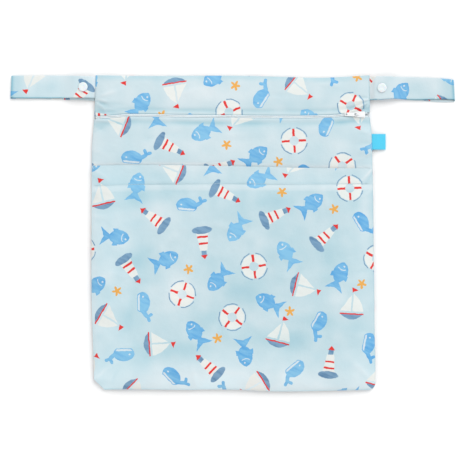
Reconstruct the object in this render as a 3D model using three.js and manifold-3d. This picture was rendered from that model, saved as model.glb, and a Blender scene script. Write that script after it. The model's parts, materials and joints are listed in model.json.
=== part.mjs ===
// A zipped wet bag for cloth nappies, lying flat on its back: a main compartment of laminated cloth with a
// zip across its front, an open pocket sewn over the lower front, two hanging straps that fold back on
// themselves and close with poppers, and a ribbon label in the right side seam.
// Millimetres. +X is to the right as the bag is seen, +Y towards its top edge, and +Z up from the surface
// under it. The origin is the middle of the whole footprint, on that surface.
import * as THREE from 'three';
import { mergeVertices } from 'three/addons/utils/BufferGeometryUtils.js';
import Module from 'manifold-3d';

const wasm = await Module();
wasm.setup();

// Bag
const BAG_WIDTH = 330;
const BAG_HEIGHT = 364.5;
const CLOTH = 1;
const SEAM_GAP = 0.38;
const MAIN_LOFT = 6;
const POCKET_LOFT = 5.6;
const SIDE_ROLL = 48;
const TOP_ROLL = 40;
const BOTTOM_ROLL = 48;
const BACK_LIFT = 1;
const BACK_ROLL = 20;
const CORNER_CUT = 12;
const CORNER_ROUND = 8;
const HEM_DEPTH = 23;
const HEM_EXTRA = 0.6;
const MOUTH_BELOW_TOP = 106;

// Zip
const ZIP_BELOW_TOP = 47.3;
const ZIP_SLOT = 5.2;
const ZIP_END_INSET = 2;
const TAPE_WIDTH = 10;
const TAPE = 0.7;
const TAPE_DROP = 0.55;
const COIL_WIDTH = 1.9;
const COIL_HEIGHT = 1.2;
const COIL_CROWN = 0.3;
const COIL_SPREAD = 1.15;
const PARTING = 0.2;

// Slider and pull
const SLIDER_BEHIND_EDGE = 12.6;
const SLIDER_LENGTH = 12.6;
const SLIDER_NOSE_WIDTH = 7.2;
const SLIDER_TAIL_WIDTH = 6.2;
const SLIDER_PLATE = 0.9;
const SLIDER_CLEARANCE = 0.55;
const SLIDER_CORNER = 1.4;
const SLIDER_TAIL_INSET = 0.5;
const PIN_FROM_TAIL = 2.8;
const PIN_ABOVE_PLATE = 1.3;
const WEDGE_WIDTH = 1.6;
const WEDGE_LENGTH = 3.4;
const BRIDGE_WIDTH = 1.6;
const BRIDGE_LEG = 0.8;
const BRIDGE_SPAN = 2.2;
const BRIDGE_RISE = 2.35;
const PULL_LENGTH = 14.6;
const PULL_WIDTH = 4.6;
const PULL_THICKNESS = 0.9;
const PULL_PIN_RADIUS = 0.5;
const PULL_WINDOW = 2.6;
const PULL_HOLE_RADIUS = 1;
const PULL_HOLE_FROM_TIP = 2.2;
const PULL_CORNER = 1.6;
const PULL_CLEARANCE = 0.5;

// Straps and poppers
const STRAP_REACH = 99.8;
const STRAP_WIDTH = 27;
const STRAP_CLOTH = 1;
const STRAP_TUCK = 4;
const STRAP_FOLD_GAP = 0.8;
const STRAP_SETTLE = 22;
const STRAP_BULK_REACH = 25;
const TUCK_MARGIN = 4;
const TUCK_EASE = 8;
const POPPER_FROM_SEAM = 14;
const POPPER_LANDING = 1;
const CAP_RADIUS = 5.4;
const CAP_THICKNESS = 1.05;
const CAP_RIM = 0.45;
const CAP_UNDERCUT = 0.3;
const CAP_BEVEL = 0.8;
const CAP_CROWN = 0.2;
const POST_RADIUS = 1.3;
const POST_CLEARANCE = 0.4;
const SOCKET_RADIUS = 4.6;
const SOCKET_HEIGHT = 1.4;
const SOCKET_FLOOR = 0.3;
const STUD_RADIUS = 4.2;
const STUD_HEIGHT = 0.7;
const NUB_RADIUS = 1.9;
const NUB_HEIGHT = 1.1;

// Label
const LABEL_BELOW_TOP = 77.2;
const LABEL_WIDTH = 18.2;
const LABEL_REACH = 16.2;
const LABEL_RIBBON = 0.5;
const LABEL_TUCK = 5;
const LABEL_DROOP = 1.1;
const LABEL_MARGIN = 2;
const LABEL_BULK_REACH = 20;

// Half widths of the bag to its left and right edge, as shares of half BAG_WIDTH, down from the top edge.
const SIDE_ROWS = [
  { down: 0.0, left: 0.963, right: 0.965 },
  { down: 0.08, left: 0.968, right: 0.967 },
  { down: 0.137, left: 0.974, right: 0.968 },
  { down: 0.175, left: 0.981, right: 0.978 },
  { down: 0.213, left: 0.988, right: 0.982 },
  { down: 0.289, left: 0.99, right: 0.986 },
  { down: 0.404, left: 0.991, right: 0.991 },
  { down: 0.556, left: 0.993, right: 0.994 },
  { down: 0.715, left: 0.991, right: 0.999 },
  { down: 0.824, left: 0.984, right: 1.001 },
  { down: 0.9, left: 0.978, right: 1.006 },
  { down: 1.0, left: 0.974, right: 1.006 },
];

// How far the lines that cross the bag wander from straight, upwards, as shares of BAG_HEIGHT.
const TOP_EDGE_ROWS = [
  { across: -1, up: 0.0 },
  { across: -0.53, up: -0.0019 },
  { across: -0.09, up: -0.0006 },
  { across: 0.2, up: -0.0025 },
  { across: 0.49, up: -0.0064 },
  { across: 0.64, up: -0.0076 },
  { across: 0.82, up: -0.0045 },
  { across: 1, up: 0.0 },
];
const BOTTOM_EDGE_ROWS = [
  { across: -1, up: 0.007 },
  { across: -0.65, up: 0.0048 },
  { across: -0.37, up: 0.0051 },
  { across: -0.09, up: 0.0086 },
  { across: 0.09, up: 0.0038 },
  { across: 0.475, up: 0.0 },
  { across: 0.757, up: 0.0013 },
  { across: 1, up: 0.007 },
];
const ZIP_ROWS = [
  { across: -1, up: -0.006 },
  { across: -0.86, up: -0.0019 },
  { across: -0.73, up: 0.0019 },
  { across: -0.38, up: -0.0006 },
  { across: 0, up: -0.0022 },
  { across: 0.49, up: -0.0035 },
  { across: 0.71, up: -0.0013 },
  { across: 0.86, up: 0.0035 },
  { across: 1, up: 0.0038 },
];
const MOUTH_ROWS = [
  { across: -1, up: 0.007 },
  { across: -0.5, up: 0.0045 },
  { across: 0, up: 0.0 },
  { across: 0.5, up: -0.0051 },
  { across: 1, up: -0.007 },
];

// Broad swells and dents of the whole front: place as shares of the half width and of the height from the
// bottom edge, half length and half width as shares of BAG_WIDTH, turn in degrees, and rise as a share of
// MAIN_LOFT.
const SWELLS = [
  { across: -0.55, up: 0.3, long: 0.26, wide: 0.12, turn: 68, rise: 0.13 },
  { across: -0.1, up: 0.22, long: 0.22, wide: 0.1, turn: 20, rise: -0.1 },
  { across: 0.42, up: 0.33, long: 0.28, wide: 0.11, turn: 112, rise: 0.12 },
  { across: 0.05, up: 0.52, long: 0.3, wide: 0.11, turn: -14, rise: 0.1 },
  { across: -0.5, up: 0.64, long: 0.24, wide: 0.1, turn: 8, rise: -0.08 },
  { across: 0.6, up: 0.62, long: 0.2, wide: 0.09, turn: 35, rise: 0.09 },
  { across: 0.1, up: 0.8, long: 0.34, wide: 0.08, turn: 2, rise: 0.08 },
];

// Narrow folds of one panel, in the same columns, with rise as a share of CLOTH.
const BAND_FOLDS = [
  { across: -0.3, up: 0.898, long: 0.5, wide: 0.016, turn: 0, rise: 1.1 },
  { across: 0.62, up: 0.903, long: 0.2, wide: 0.014, turn: 3, rise: 1.0 },
  { across: -0.88, up: 0.93, long: 0.07, wide: 0.014, turn: -28, rise: 0.9 },
  { across: 0.85, up: 0.925, long: 0.08, wide: 0.014, turn: 24, rise: 0.9 },
];
const FRONT_FOLDS = [
  { across: -0.45, up: 0.842, long: 0.34, wide: 0.016, turn: -1, rise: 1.0 },
  { across: 0.35, up: 0.845, long: 0.36, wide: 0.015, turn: 1, rise: 0.8 },
];
const POCKET_FOLDS = [
  { across: -0.2, up: 0.645, long: 0.42, wide: 0.03, turn: 1, rise: -0.9 },
  { across: 0.72, up: 0.47, long: 0.16, wide: 0.03, turn: 76, rise: 0.9 },
  { across: -0.75, up: 0.42, long: 0.18, wide: 0.03, turn: 102, rise: 0.9 },
  { across: -0.15, up: 0.4, long: 0.2, wide: 0.035, turn: 58, rise: -0.8 },
  { across: 0.35, up: 0.14, long: 0.24, wide: 0.035, turn: 8, rise: 0.9 },
  { across: -0.6, up: 0.1, long: 0.16, wide: 0.03, turn: 150, rise: 0.8 },
];

// The straps' front layers: their edges below the bag's top edge at the seam and at the fold, and how far
// the layer behind hangs below the front one at the two ends, as shares of STRAP_WIDTH.
const STRAPS = [
  {
    name: 'left', side: -1, topAtSeam: 0.0075, topAtFold: 0.015, lowAtSeam: 1.0075, lowAtFold: 0.985,
    dropAtSeam: 0.07, dropAtFold: 0.015,
  },
  {
    name: 'right', side: 1, topAtSeam: 0.037, topAtFold: 0.178, lowAtSeam: 1.033, lowAtFold: 1.048,
    dropAtSeam: 0.063, dropAtFold: 0.044,
  },
];

const COLOURS = {
  cloth: 0xd2e5ea,
  hem: 0xcae2e9,
  tape: 0xeef1f4,
  coil: 0xdfe3ea,
  slider: 0xf2f4f5,
  cap: 0xecf2f5,
  label: 0x4fcdf5,
};

const TOP_Y = BAG_HEIGHT / 2;
const BOTTOM_Y = -BAG_HEIGHT / 2;
const HALF_WIDTH = BAG_WIDTH / 2;

const clamp01 = (t) => Math.min(Math.max(t, 0), 1);
const smooth = (t) => clamp01(t) ** 2 * (3 - 2 * clamp01(t));
const mix = (a, b, t) => a + (b - a) * t;
const radians = THREE.MathUtils.degToRad;

// A smooth curve through a table's rows, which are sorted by their key column.
function along(rows, key, value, at) {
  const last = rows.length - 1;
  const x = Math.min(Math.max(at, rows[0][key]), rows[last][key]);
  let k = 0;
  while (k < last - 1 && x > rows[k + 1][key]) k += 1;
  const slope = (i) => {
    const a = rows[Math.max(i - 1, 0)];
    const b = rows[Math.min(i + 1, last)];
    return (b[value] - a[value]) / (b[key] - a[key]);
  };
  const step = rows[k + 1][key] - rows[k][key];
  const t = (x - rows[k][key]) / step;
  const [p, q] = [rows[k][value], rows[k + 1][value]];
  const [m, n] = [slope(k) * step, slope(k + 1) * step];
  return p + t * (m + t * (3 * (q - p) - 2 * m - n + t * (2 * (p - q) + m + n)));
}

// Lines that cross the bag, at a place u from -1 at the left edge to 1 at the right.
const topEdge = (u) => TOP_Y + BAG_HEIGHT * along(TOP_EDGE_ROWS, 'across', 'up', u);
const bottomEdge = (u) => BOTTOM_Y + BAG_HEIGHT * along(BOTTOM_EDGE_ROWS, 'across', 'up', u);
const zipLine = (u) => TOP_Y - ZIP_BELOW_TOP + BAG_HEIGHT * along(ZIP_ROWS, 'across', 'up', u);
const mouthLine = (u) => TOP_Y - MOUTH_BELOW_TOP + BAG_HEIGHT * along(MOUTH_ROWS, 'across', 'up', u);

// The side edges, with the left bottom corner cut across and the right one rounded.
function leftEdge(y) {
  const above = y - bottomEdge(-1);
  const cut = Math.max(CORNER_CUT - above, 0);
  return -HALF_WIDTH * along(SIDE_ROWS, 'down', 'left', (TOP_Y - y) / BAG_HEIGHT) + cut;
}
function rightEdge(y) {
  const short = Math.max(CORNER_ROUND - (y - bottomEdge(1)), 0);
  const cut = CORNER_ROUND - Math.sqrt(Math.max(CORNER_ROUND ** 2 - short ** 2, 0));
  return HALF_WIDTH * along(SIDE_ROWS, 'down', 'right', (TOP_Y - y) / BAG_HEIGHT) - cut;
}
const acrossAt = (u, y) => mix(leftEdge(y), rightEdge(y), (u + 1) / 2);
const uAt = (x, y) => (2 * (x - leftEdge(y))) / (rightEdge(y) - leftEdge(y)) - 1;

// How far a panel has climbed at a distance from its seam, as a quarter of an ellipse.
const climb = (distance, roll) => Math.sqrt(1 - (1 - clamp01(distance / roll)) ** 2);

function relief(rows, x, y) {
  let height = 0;
  for (const { across, up, long, wide, turn, rise } of rows) {
    const dx = x - across * HALF_WIDTH;
    const dy = y - (BOTTOM_Y + up * BAG_HEIGHT);
    const lengthwise = (dx * Math.cos(radians(turn)) + dy * Math.sin(radians(turn))) / (long * BAG_WIDTH);
    const crosswise = (dy * Math.cos(radians(turn)) - dx * Math.sin(radians(turn))) / (wide * BAG_WIDTH);
    height += rise * Math.exp(-(lengthwise ** 2) - crosswise ** 2);
  }
  return height;
}

const LABEL_Y = TOP_Y - LABEL_BELOW_TOP;
const LABEL_STACK = 2 * LABEL_RIBBON + SEAM_GAP;

// The bulk that a strap's end or the label adds to the side seam that it is caught in.
function seamBulk(u, y, inset) {
  const strap = STRAPS.find(({ side }) => side === Math.sign(u)) ?? STRAPS[0];
  const strapLow = TOP_Y - (strap.lowAtSeam + strap.dropAtSeam) * STRAP_WIDTH;
  const fade = (tuck, reach) => 1 - smooth((inset - tuck - TUCK_MARGIN) / reach);
  const byStrap = smooth((y - strapLow) / TUCK_EASE + 1.4) * fade(STRAP_TUCK, STRAP_BULK_REACH);
  const beyondLabel = Math.abs(y - LABEL_Y) - LABEL_WIDTH / 2 - LABEL_MARGIN;
  const byLabel = u > 0 ? (1 - smooth(beyondLabel / TUCK_EASE)) * fade(LABEL_TUCK, LABEL_BULK_REACH) : 0;
  return byStrap * (STRAP_CLOTH + SEAM_GAP) + byLabel * (LABEL_STACK + SEAM_GAP);
}

// The heights of the bag's layers at one place. Every panel is drawn from these, so that none meets another.
function layers(u, y) {
  const x = acrossAt(u, y);
  const inset = Math.min(x - leftEdge(y), rightEdge(y) - x);
  const fromTop = topEdge(u) - y;
  const fromBottom = y - bottomEdge(u);
  const lift = BACK_LIFT * (1 - climb(Math.min(inset, fromTop, fromBottom), BACK_ROLL));
  const sides = climb(inset, SIDE_ROLL) * climb(fromBottom, BOTTOM_ROLL);
  const puff = sides * climb(fromTop, TOP_ROLL);
  const backTop = lift + CLOTH;
  const front = backTop + SEAM_GAP + seamBulk(u, y, inset) + puff * MAIN_LOFT * (1 + relief(SWELLS, x, y));
  const frontTop = front + CLOTH * (1 + puff * relief(FRONT_FOLDS, x, y));
  const pocket = frontTop + SEAM_GAP + sides * (POCKET_LOFT + CLOTH * relief(POCKET_FOLDS, x, y));
  return { x, y, puff, back: lift, backTop, front, frontTop, pocket };
}

// A closed sheet over a grid: place(i, j, face) gives a point of its underside, face 0, or its top, face 1.
function sheet(columns, rows, place) {
  const positions = [];
  for (const face of [0, 1]) {
    for (let j = 0; j <= rows; j += 1) {
      for (let i = 0; i <= columns; i += 1) positions.push(...place(i, j, face));
    }
  }
  const layer = (columns + 1) * (rows + 1);
  const at = (face, i, j) => face * layer + j * (columns + 1) + i;
  const triangles = [];
  const quad = (a, b, c, d) => triangles.push(a, b, c, a, c, d);
  for (let j = 0; j < rows; j += 1) {
    for (let i = 0; i < columns; i += 1) {
      quad(at(1, i, j), at(1, i + 1, j), at(1, i + 1, j + 1), at(1, i, j + 1));
      triangles.push(at(0, i, j), at(0, i + 1, j + 1), at(0, i + 1, j));
      triangles.push(at(0, i, j), at(0, i, j + 1), at(0, i + 1, j + 1));
    }
  }
  for (let i = 0; i < columns; i += 1) {
    quad(at(0, i, 0), at(0, i + 1, 0), at(1, i + 1, 0), at(1, i, 0));
    quad(at(0, i + 1, rows), at(0, i, rows), at(1, i, rows), at(1, i + 1, rows));
  }
  for (let j = 0; j < rows; j += 1) {
    quad(at(0, 0, j + 1), at(0, 0, j), at(1, 0, j), at(1, 0, j + 1));
    quad(at(0, columns, j), at(0, columns, j + 1), at(1, columns, j + 1), at(1, columns, j));
  }
  const geometry = new THREE.BufferGeometry();
  geometry.setAttribute('position', new THREE.Float32BufferAttribute(positions, 3));
  geometry.setIndex(triangles);
  geometry.computeVertexNormals();
  return geometry;
}

function toManifold(geometry) {
  const bare = geometry.clone();
  bare.deleteAttribute('normal');
  bare.deleteAttribute('uv');
  const merged = mergeVertices(bare, 1e-4);
  const vertProperties = new Float32Array(merged.attributes.position.array);
  const triVerts = new Uint32Array(merged.index.array);
  return new wasm.Manifold(new wasm.Mesh({ numProp: 3, vertProperties, triVerts }));
}
function fromManifold(solid) {
  const { vertProperties, triVerts } = solid.getMesh();
  const geometry = new THREE.BufferGeometry();
  geometry.setAttribute('position', new THREE.BufferAttribute(vertProperties, 3));
  geometry.setIndex(new THREE.BufferAttribute(triVerts, 1));
  geometry.computeVertexNormals();
  return geometry;
}
const fuse = (geometries) => fromManifold(geometries.map(toManifold).reduce((a, b) => a.add(b)));

const bag = new THREE.Group();
function addPiece(name, geometry, colour, { roughness = 0.7, metalness = 0, parent = bag } = {}) {
  const material = new THREE.MeshStandardMaterial({ color: colour, roughness, metalness });
  const mesh = new THREE.Mesh(geometry, material);
  mesh.name = name;
  parent.add(mesh);
  return mesh;
}

// Grid lines. All panels share them, closer together where the cloth rolls over to a seam.
const ROLL_STEPS = [0, 0.025, 0.075, 0.15, 0.26, 0.42, 0.68, 1];
const MIDDLE_COLUMNS = 8;
const sliderU = 1 - (2 * SLIDER_BEHIND_EDGE) / BAG_WIDTH;
function columnStations() {
  const roll = ROLL_STEPS.map((share) => (share * SIDE_ROLL) / HALF_WIDTH);
  const inner = 1 - roll.at(-1);
  const evenly = (k) => inner * ((2 * (k + 1)) / MIDDLE_COLUMNS - 1);
  const middle = Array.from({ length: MIDDLE_COLUMNS - 1 }, (_, k) => evenly(k));
  const bySlider = [-0.5, 0, PARTING, 0.5].map((share) => sliderU + (share * SLIDER_LENGTH) / HALF_WIDTH);
  const byZip = [...bySlider, 1 - ZIP_END_INSET / HALF_WIDTH];
  const others = [...roll.map((d) => d - 1), ...middle, ...roll.map((d) => 1 - d)];
  const clear = others.filter((u) => byZip.every((v) => Math.abs(u - v) > 0.008));
  return [...clear, ZIP_END_INSET / HALF_WIDTH - 1, ...byZip].sort((a, b) => a - b);
}
const columns = columnStations();
const columnCount = columns.length - 1;

// Rows of each strip of the bag at u: bottom edge to pocket mouth, mouth to zip, and zip to top edge.
const POCKET_BODY_ROWS = 6;
function pocketRows(u) {
  const low = bottomEdge(u);
  const high = mouthLine(u);
  const hem = high - HEM_DEPTH;
  const roll = ROLL_STEPS.map((share) => low + share * BOTTOM_ROLL);
  const upTo = (k) => mix(roll.at(-1), hem, (k + 1) / POCKET_BODY_ROWS);
  const body = Array.from({ length: POCKET_BODY_ROWS }, (_, k) => upTo(k));
  return [...roll, ...body, mix(hem, high, 0.5), high];
}
const spread = (u) => COIL_SPREAD * clamp01(((u - sliderU) * HALF_WIDTH) / (PARTING * SLIDER_LENGTH));
const slotLow = (u) => zipLine(u) - ZIP_SLOT / 2 - spread(u);
const slotHigh = (u) => zipLine(u) + ZIP_SLOT / 2 + spread(u);
function frontRows(u) {
  const low = mouthLine(u);
  const high = slotLow(u);
  const share = (y) => clamp01((y - mouthLine(1)) / (slotLow(1) - mouthLine(1)));
  const edge = LABEL_WIDTH / 2 + LABEL_MARGIN;
  const marks = [-edge - TUCK_EASE, -edge, 0, edge, edge + TUCK_EASE].map((away) => LABEL_Y + away);
  return [...marks.map((y) => mix(low, high, share(y))), mix(low, high, 0.93), high];
}
function bandRows(u) {
  const low = slotHigh(u);
  const high = topEdge(u);
  const reach = high - low;
  return [0, 0.09, 0.18, 0.3, 0.44, 0.62, 0.8, 0.92, 0.975, 1].map((share) => low + share * reach);
}

function panel(name, rowsOf, placeHeights, colour) {
  const lines = columns.map((u) => rowsOf(u));
  const rowCount = lines[0].length - 1;
  addPiece(name, sheet(columnCount, rowCount, (i, j, face) => {
    const u = columns[i];
    const levels = layers(u, lines[i][j]);
    return [levels.x, levels.y, placeHeights(levels, j, rowCount)[face]];
  }), colour);
}

// Panels: the back, the front above the zip, the front below it, and the pocket over that.
panel('back_panel', (u) => [...pocketRows(u), ...frontRows(u), ...bandRows(u)],
  ({ back, backTop }) => [back, backTop], COLOURS.cloth);
panel('upper_front_panel', bandRows,
  ({ x, y, front, puff }) => [front, front + CLOTH * (1 + puff * relief(BAND_FOLDS, x, y))], COLOURS.cloth);
panel('lower_front_panel', (u) => [...pocketRows(u), ...frontRows(u)],
  ({ front, frontTop }) => [front, frontTop], COLOURS.cloth);
panel('pocket_panel', pocketRows,
  ({ pocket }, j, rowCount) => [pocket, pocket + CLOTH + (j >= rowCount - 1 ? HEM_EXTRA : 0)], COLOURS.hem);

// Zip: two tapes under the cloth and a coil on the edge of each. Past the slider they part a little.
const zipReach = 1 - ZIP_END_INSET / HALF_WIDTH + 1e-6;
const zipColumns = columns.filter((u) => Math.abs(u) < zipReach);
function zipStrip(name, side, from, to, heights, colour, lanes = 1) {
  addPiece(name, sheet(zipColumns.length - 1, lanes, (i, j, face) => {
    const u = zipColumns[i];
    const lane = side > 0 ? j / lanes : 1 - j / lanes;
    const { x, y, front } = layers(u, zipLine(u) + side * (SEAM_GAP / 2 + spread(u) + mix(from, to, lane)));
    return [x, y, front + heights(lane)[face]];
  }), colour, { roughness: 0.5 });
}
for (const [word, side] of [['upper', 1], ['lower', -1]]) {
  zipStrip(`zip_tape_${word}`, side, 0, TAPE_WIDTH, () => [-TAPE_DROP - TAPE, -TAPE_DROP], COLOURS.tape, 2);
  zipStrip(`zip_coil_${word}`, side, 0, COIL_WIDTH,
    (lane) => [0, COIL_HEIGHT - (lane === 0.5 ? 0 : COIL_CROWN)], COLOURS.coil, 2);
}

// Slider and pull, in a frame that lies along the zip at the slider.
const sliderAt = layers(sliderU, zipLine(sliderU));
const sliderEnd = (share) => {
  const u = uAt(sliderAt.x + (share * SLIDER_LENGTH) / 2, sliderAt.y);
  return layers(u, zipLine(u));
};
const sliderSlope = Math.atan2(sliderEnd(-1).front - sliderEnd(1).front, SLIDER_LENGTH);
const sliderFrame = new THREE.Group();
sliderFrame.position.set(sliderAt.x, sliderAt.y, (sliderEnd(-1).front + sliderEnd(1).front) / 2);
sliderFrame.rotation.y = sliderSlope;
bag.add(sliderFrame);

const PLATE_LOW = COIL_HEIGHT + SLIDER_CLEARANCE;
const PLATE_TOP = PLATE_LOW + SLIDER_PLATE;
const UNDER_PLATE_TOP = -TAPE_DROP - TAPE - SEAM_GAP;
const PIN_X = -SLIDER_LENGTH / 2 + PIN_FROM_TAIL;
const PIN_Z = PLATE_TOP + PIN_ABOVE_PLATE;

function extruded(shape, depth, lift, curveSegments = 5) {
  const geometry = new THREE.ExtrudeGeometry(shape, { depth, bevelEnabled: false, curveSegments });
  return geometry.translate(0, 0, lift);
}
function plateShape(tailInset) {
  const [tail, nose] = [-SLIDER_LENGTH / 2 + tailInset, SLIDER_LENGTH / 2];
  const [back, front, r] = [SLIDER_TAIL_WIDTH / 2, SLIDER_NOSE_WIDTH / 2, SLIDER_CORNER];
  const shape = new THREE.Shape();
  shape.moveTo(tail + r, -back);
  shape.lineTo(nose - r, -front);
  shape.quadraticCurveTo(nose, -front, nose, -front + r);
  shape.lineTo(nose, front - r);
  shape.quadraticCurveTo(nose, front, nose - r, front);
  shape.lineTo(tail + r, back);
  shape.quadraticCurveTo(tail, back, tail, back - r);
  shape.lineTo(tail, -back + r);
  shape.quadraticCurveTo(tail, -back, tail + r, -back);
  return shape;
}
function sliderBody() {
  const upper = extruded(plateShape(SLIDER_TAIL_INSET), SLIDER_PLATE, PLATE_LOW);
  const under = extruded(plateShape(0), SLIDER_PLATE, UNDER_PLATE_TOP - SLIDER_PLATE);
  const height = PLATE_LOW - UNDER_PLATE_TOP + SLIDER_PLATE;
  const wedge = new THREE.BoxGeometry(WEDGE_LENGTH, WEDGE_WIDTH, height);
  wedge.translate(SLIDER_LENGTH / 2 - WEDGE_LENGTH / 2, 0, (PLATE_LOW + UNDER_PLATE_TOP) / 2);
  const [outer, r] = [BRIDGE_SPAN / 2 + BRIDGE_LEG, BRIDGE_LEG];
  const arch = new THREE.Shape();
  arch.moveTo(-outer, -r / 2);
  arch.lineTo(-outer, BRIDGE_RISE + BRIDGE_LEG - r);
  arch.quadraticCurveTo(-outer, BRIDGE_RISE + BRIDGE_LEG, -outer + r, BRIDGE_RISE + BRIDGE_LEG);
  arch.lineTo(outer - r, BRIDGE_RISE + BRIDGE_LEG);
  arch.quadraticCurveTo(outer, BRIDGE_RISE + BRIDGE_LEG, outer, BRIDGE_RISE + BRIDGE_LEG - r);
  arch.lineTo(outer, -r / 2);
  arch.lineTo(BRIDGE_SPAN / 2, -r / 2);
  arch.lineTo(BRIDGE_SPAN / 2, BRIDGE_RISE);
  arch.lineTo(-BRIDGE_SPAN / 2, BRIDGE_RISE);
  arch.lineTo(-BRIDGE_SPAN / 2, -r / 2);
  const bridge = extruded(arch, BRIDGE_WIDTH, -BRIDGE_WIDTH / 2, 3);
  bridge.rotateX(Math.PI / 2).translate(PIN_X, 0, PLATE_TOP);
  return fuse([upper, under, wedge, bridge]);
}
addPiece('zip_slider', sliderBody(), COLOURS.slider, { roughness: 0.35, parent: sliderFrame });

// The pull hangs on a pin under the bridge and lies back along the closed zip, its tip just over the coil.
function pullTab() {
  const [w, tip, r] = [PULL_WIDTH / 2, -PULL_LENGTH, PULL_CORNER];
  const outline = new THREE.Shape();
  outline.moveTo(0, -w);
  outline.lineTo(0, w);
  outline.lineTo(tip + r, w);
  outline.quadraticCurveTo(tip, w, tip, w - r);
  outline.lineTo(tip, -w + r);
  outline.quadraticCurveTo(tip, -w, tip + r, -w);
  outline.lineTo(0, -w);
  const half = BRIDGE_WIDTH / 2 + PULL_CLEARANCE;
  const opening = new THREE.Path();
  opening.moveTo(-PULL_PIN_RADIUS / 2, -half);
  opening.lineTo(-PULL_PIN_RADIUS - PULL_WINDOW, -half);
  opening.lineTo(-PULL_PIN_RADIUS - PULL_WINDOW, half);
  opening.lineTo(-PULL_PIN_RADIUS / 2, half);
  opening.closePath();
  const eye = new THREE.Path().absarc(tip + PULL_HOLE_FROM_TIP, 0, PULL_HOLE_RADIUS, 0, 2 * Math.PI, true);
  outline.holes.push(opening, eye);
  const tab = extruded(outline, PULL_THICKNESS, -PULL_THICKNESS / 2, 4);
  const pin = new THREE.CylinderGeometry(PULL_PIN_RADIUS, PULL_PIN_RADIUS, PULL_WIDTH, 12);
  return fuse([tab, pin]);
}
const tipSurface = layers(uAt(sliderAt.x + PIN_X - PULL_LENGTH, sliderAt.y), sliderAt.y).front + COIL_HEIGHT;
const tipInFrame = new THREE.Vector3(sliderAt.x + PIN_X - PULL_LENGTH, sliderAt.y, tipSurface);
sliderFrame.updateMatrixWorld();
sliderFrame.worldToLocal(tipInFrame);
const pullDrop = PIN_Z - (tipInFrame.z + SEAM_GAP + PULL_THICKNESS / 2);
const pull = addPiece('zip_pull', pullTab(), COLOURS.slider, { roughness: 0.35, parent: sliderFrame });
pull.position.set(PIN_X, 0, PIN_Z);
pull.rotation.y = -Math.asin(pullDrop / PULL_LENGTH);

// Heights of the two strap layers' middles at the popper, from the surface up.
const backAtPopper = CAP_THICKNESS + SEAM_GAP + STRAP_CLOTH / 2;
const studBase = backAtPopper + STRAP_CLOTH / 2 + SEAM_GAP;
const socketBase = studBase + STUD_HEIGHT + SEAM_GAP;
const frontAtPopper = socketBase + SOCKET_HEIGHT + SEAM_GAP + STRAP_CLOTH / 2;
const frontCapBase = frontAtPopper + STRAP_CLOTH / 2 + SEAM_GAP;

// A strap's middle line, out from the seam along the front layer, round the fold and back behind it.
function strapPath() {
  const seamHeight = CLOTH + BACK_LIFT + SEAM_GAP + STRAP_CLOTH / 2;
  const backFlat = STRAP_CLOTH / 2;
  const frontFlat = backFlat + STRAP_CLOTH + STRAP_FOLD_GAP;
  const near = POPPER_FROM_SEAM - CAP_RADIUS - POPPER_LANDING;
  const far = POPPER_FROM_SEAM + CAP_RADIUS + POPPER_LANDING;
  const settle = far + STRAP_SETTLE;
  const foldRadius = (frontFlat - backFlat) / 2;
  const foldCentre = STRAP_REACH - foldRadius - STRAP_CLOTH / 2;
  const points = [{ out: -STRAP_TUCK, up: seamHeight, layer: 0 }];
  const ease = (from, to, low, high, steps, layer) => {
    for (let k = 0; k <= steps; k += 1) {
      points.push({ out: mix(from, to, k / steps), up: mix(low, high, smooth(k / steps)), layer });
    }
  };
  ease(STRAP_CLOTH / 2, near, seamHeight, frontAtPopper, 4, 0);
  ease(far, settle, frontAtPopper, frontFlat, 5, 0);
  const foldSteps = 6;
  for (let k = 0; k <= foldSteps; k += 1) {
    const turn = (Math.PI * k) / foldSteps;
    const up = backFlat + foldRadius * (1 + Math.cos(turn));
    points.push({ out: foldCentre + foldRadius * Math.sin(turn), up, layer: k / foldSteps });
  }
  ease(settle, far, backFlat, backAtPopper, 5, 1);
  points.push({ out: near, up: backAtPopper, layer: 1 });
  return points;
}
function strapBand({ side, topAtSeam, topAtFold, lowAtSeam, lowAtFold, dropAtSeam, dropAtFold }) {
  const path = strapPath();
  const middle = TOP_Y - (lowAtSeam * STRAP_WIDTH) / 2;
  const seamX = side < 0 ? leftEdge(middle) : rightEdge(middle);
  const band = sheet(path.length - 1, 1, (i, j, face) => {
    const before = path[Math.max(i - 1, 0)];
    const after = path[Math.min(i + 1, path.length - 1)];
    const tangent = new THREE.Vector2(after.out - before.out, after.up - before.up).normalize();
    const thick = (face - 0.5) * STRAP_CLOTH;
    const { out, up, layer } = path[i];
    const share = clamp01(out / STRAP_REACH);
    const drop = layer * mix(dropAtSeam, dropAtFold, share);
    const upperEdge = TOP_Y - (mix(topAtSeam, topAtFold, share) + drop) * STRAP_WIDTH;
    const lowerEdge = TOP_Y - (mix(lowAtSeam, lowAtFold, share) + drop) * STRAP_WIDTH;
    const upward = side > 0 ? j : 1 - j;
    const x = seamX + side * (out - tangent.y * thick);
    return [x, mix(lowerEdge, upperEdge, upward), up + tangent.x * thick];
  });
  const holeRadius = POST_RADIUS + POST_CLEARANCE;
  const hole = new THREE.CylinderGeometry(holeRadius, holeRadius, 4 * frontCapBase, 16);
  hole.rotateX(Math.PI / 2).translate(...popperPlace(seamX, side, topAtSeam, lowAtSeam), 0);
  return { seamX, geometry: fromManifold(toManifold(band).subtract(toManifold(hole))) };
}
function popperPlace(seamX, side, topAtSeam, lowAtSeam) {
  return [seamX + side * POPPER_FROM_SEAM, TOP_Y - ((topAtSeam + lowAtSeam) * STRAP_WIDTH) / 2];
}

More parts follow.
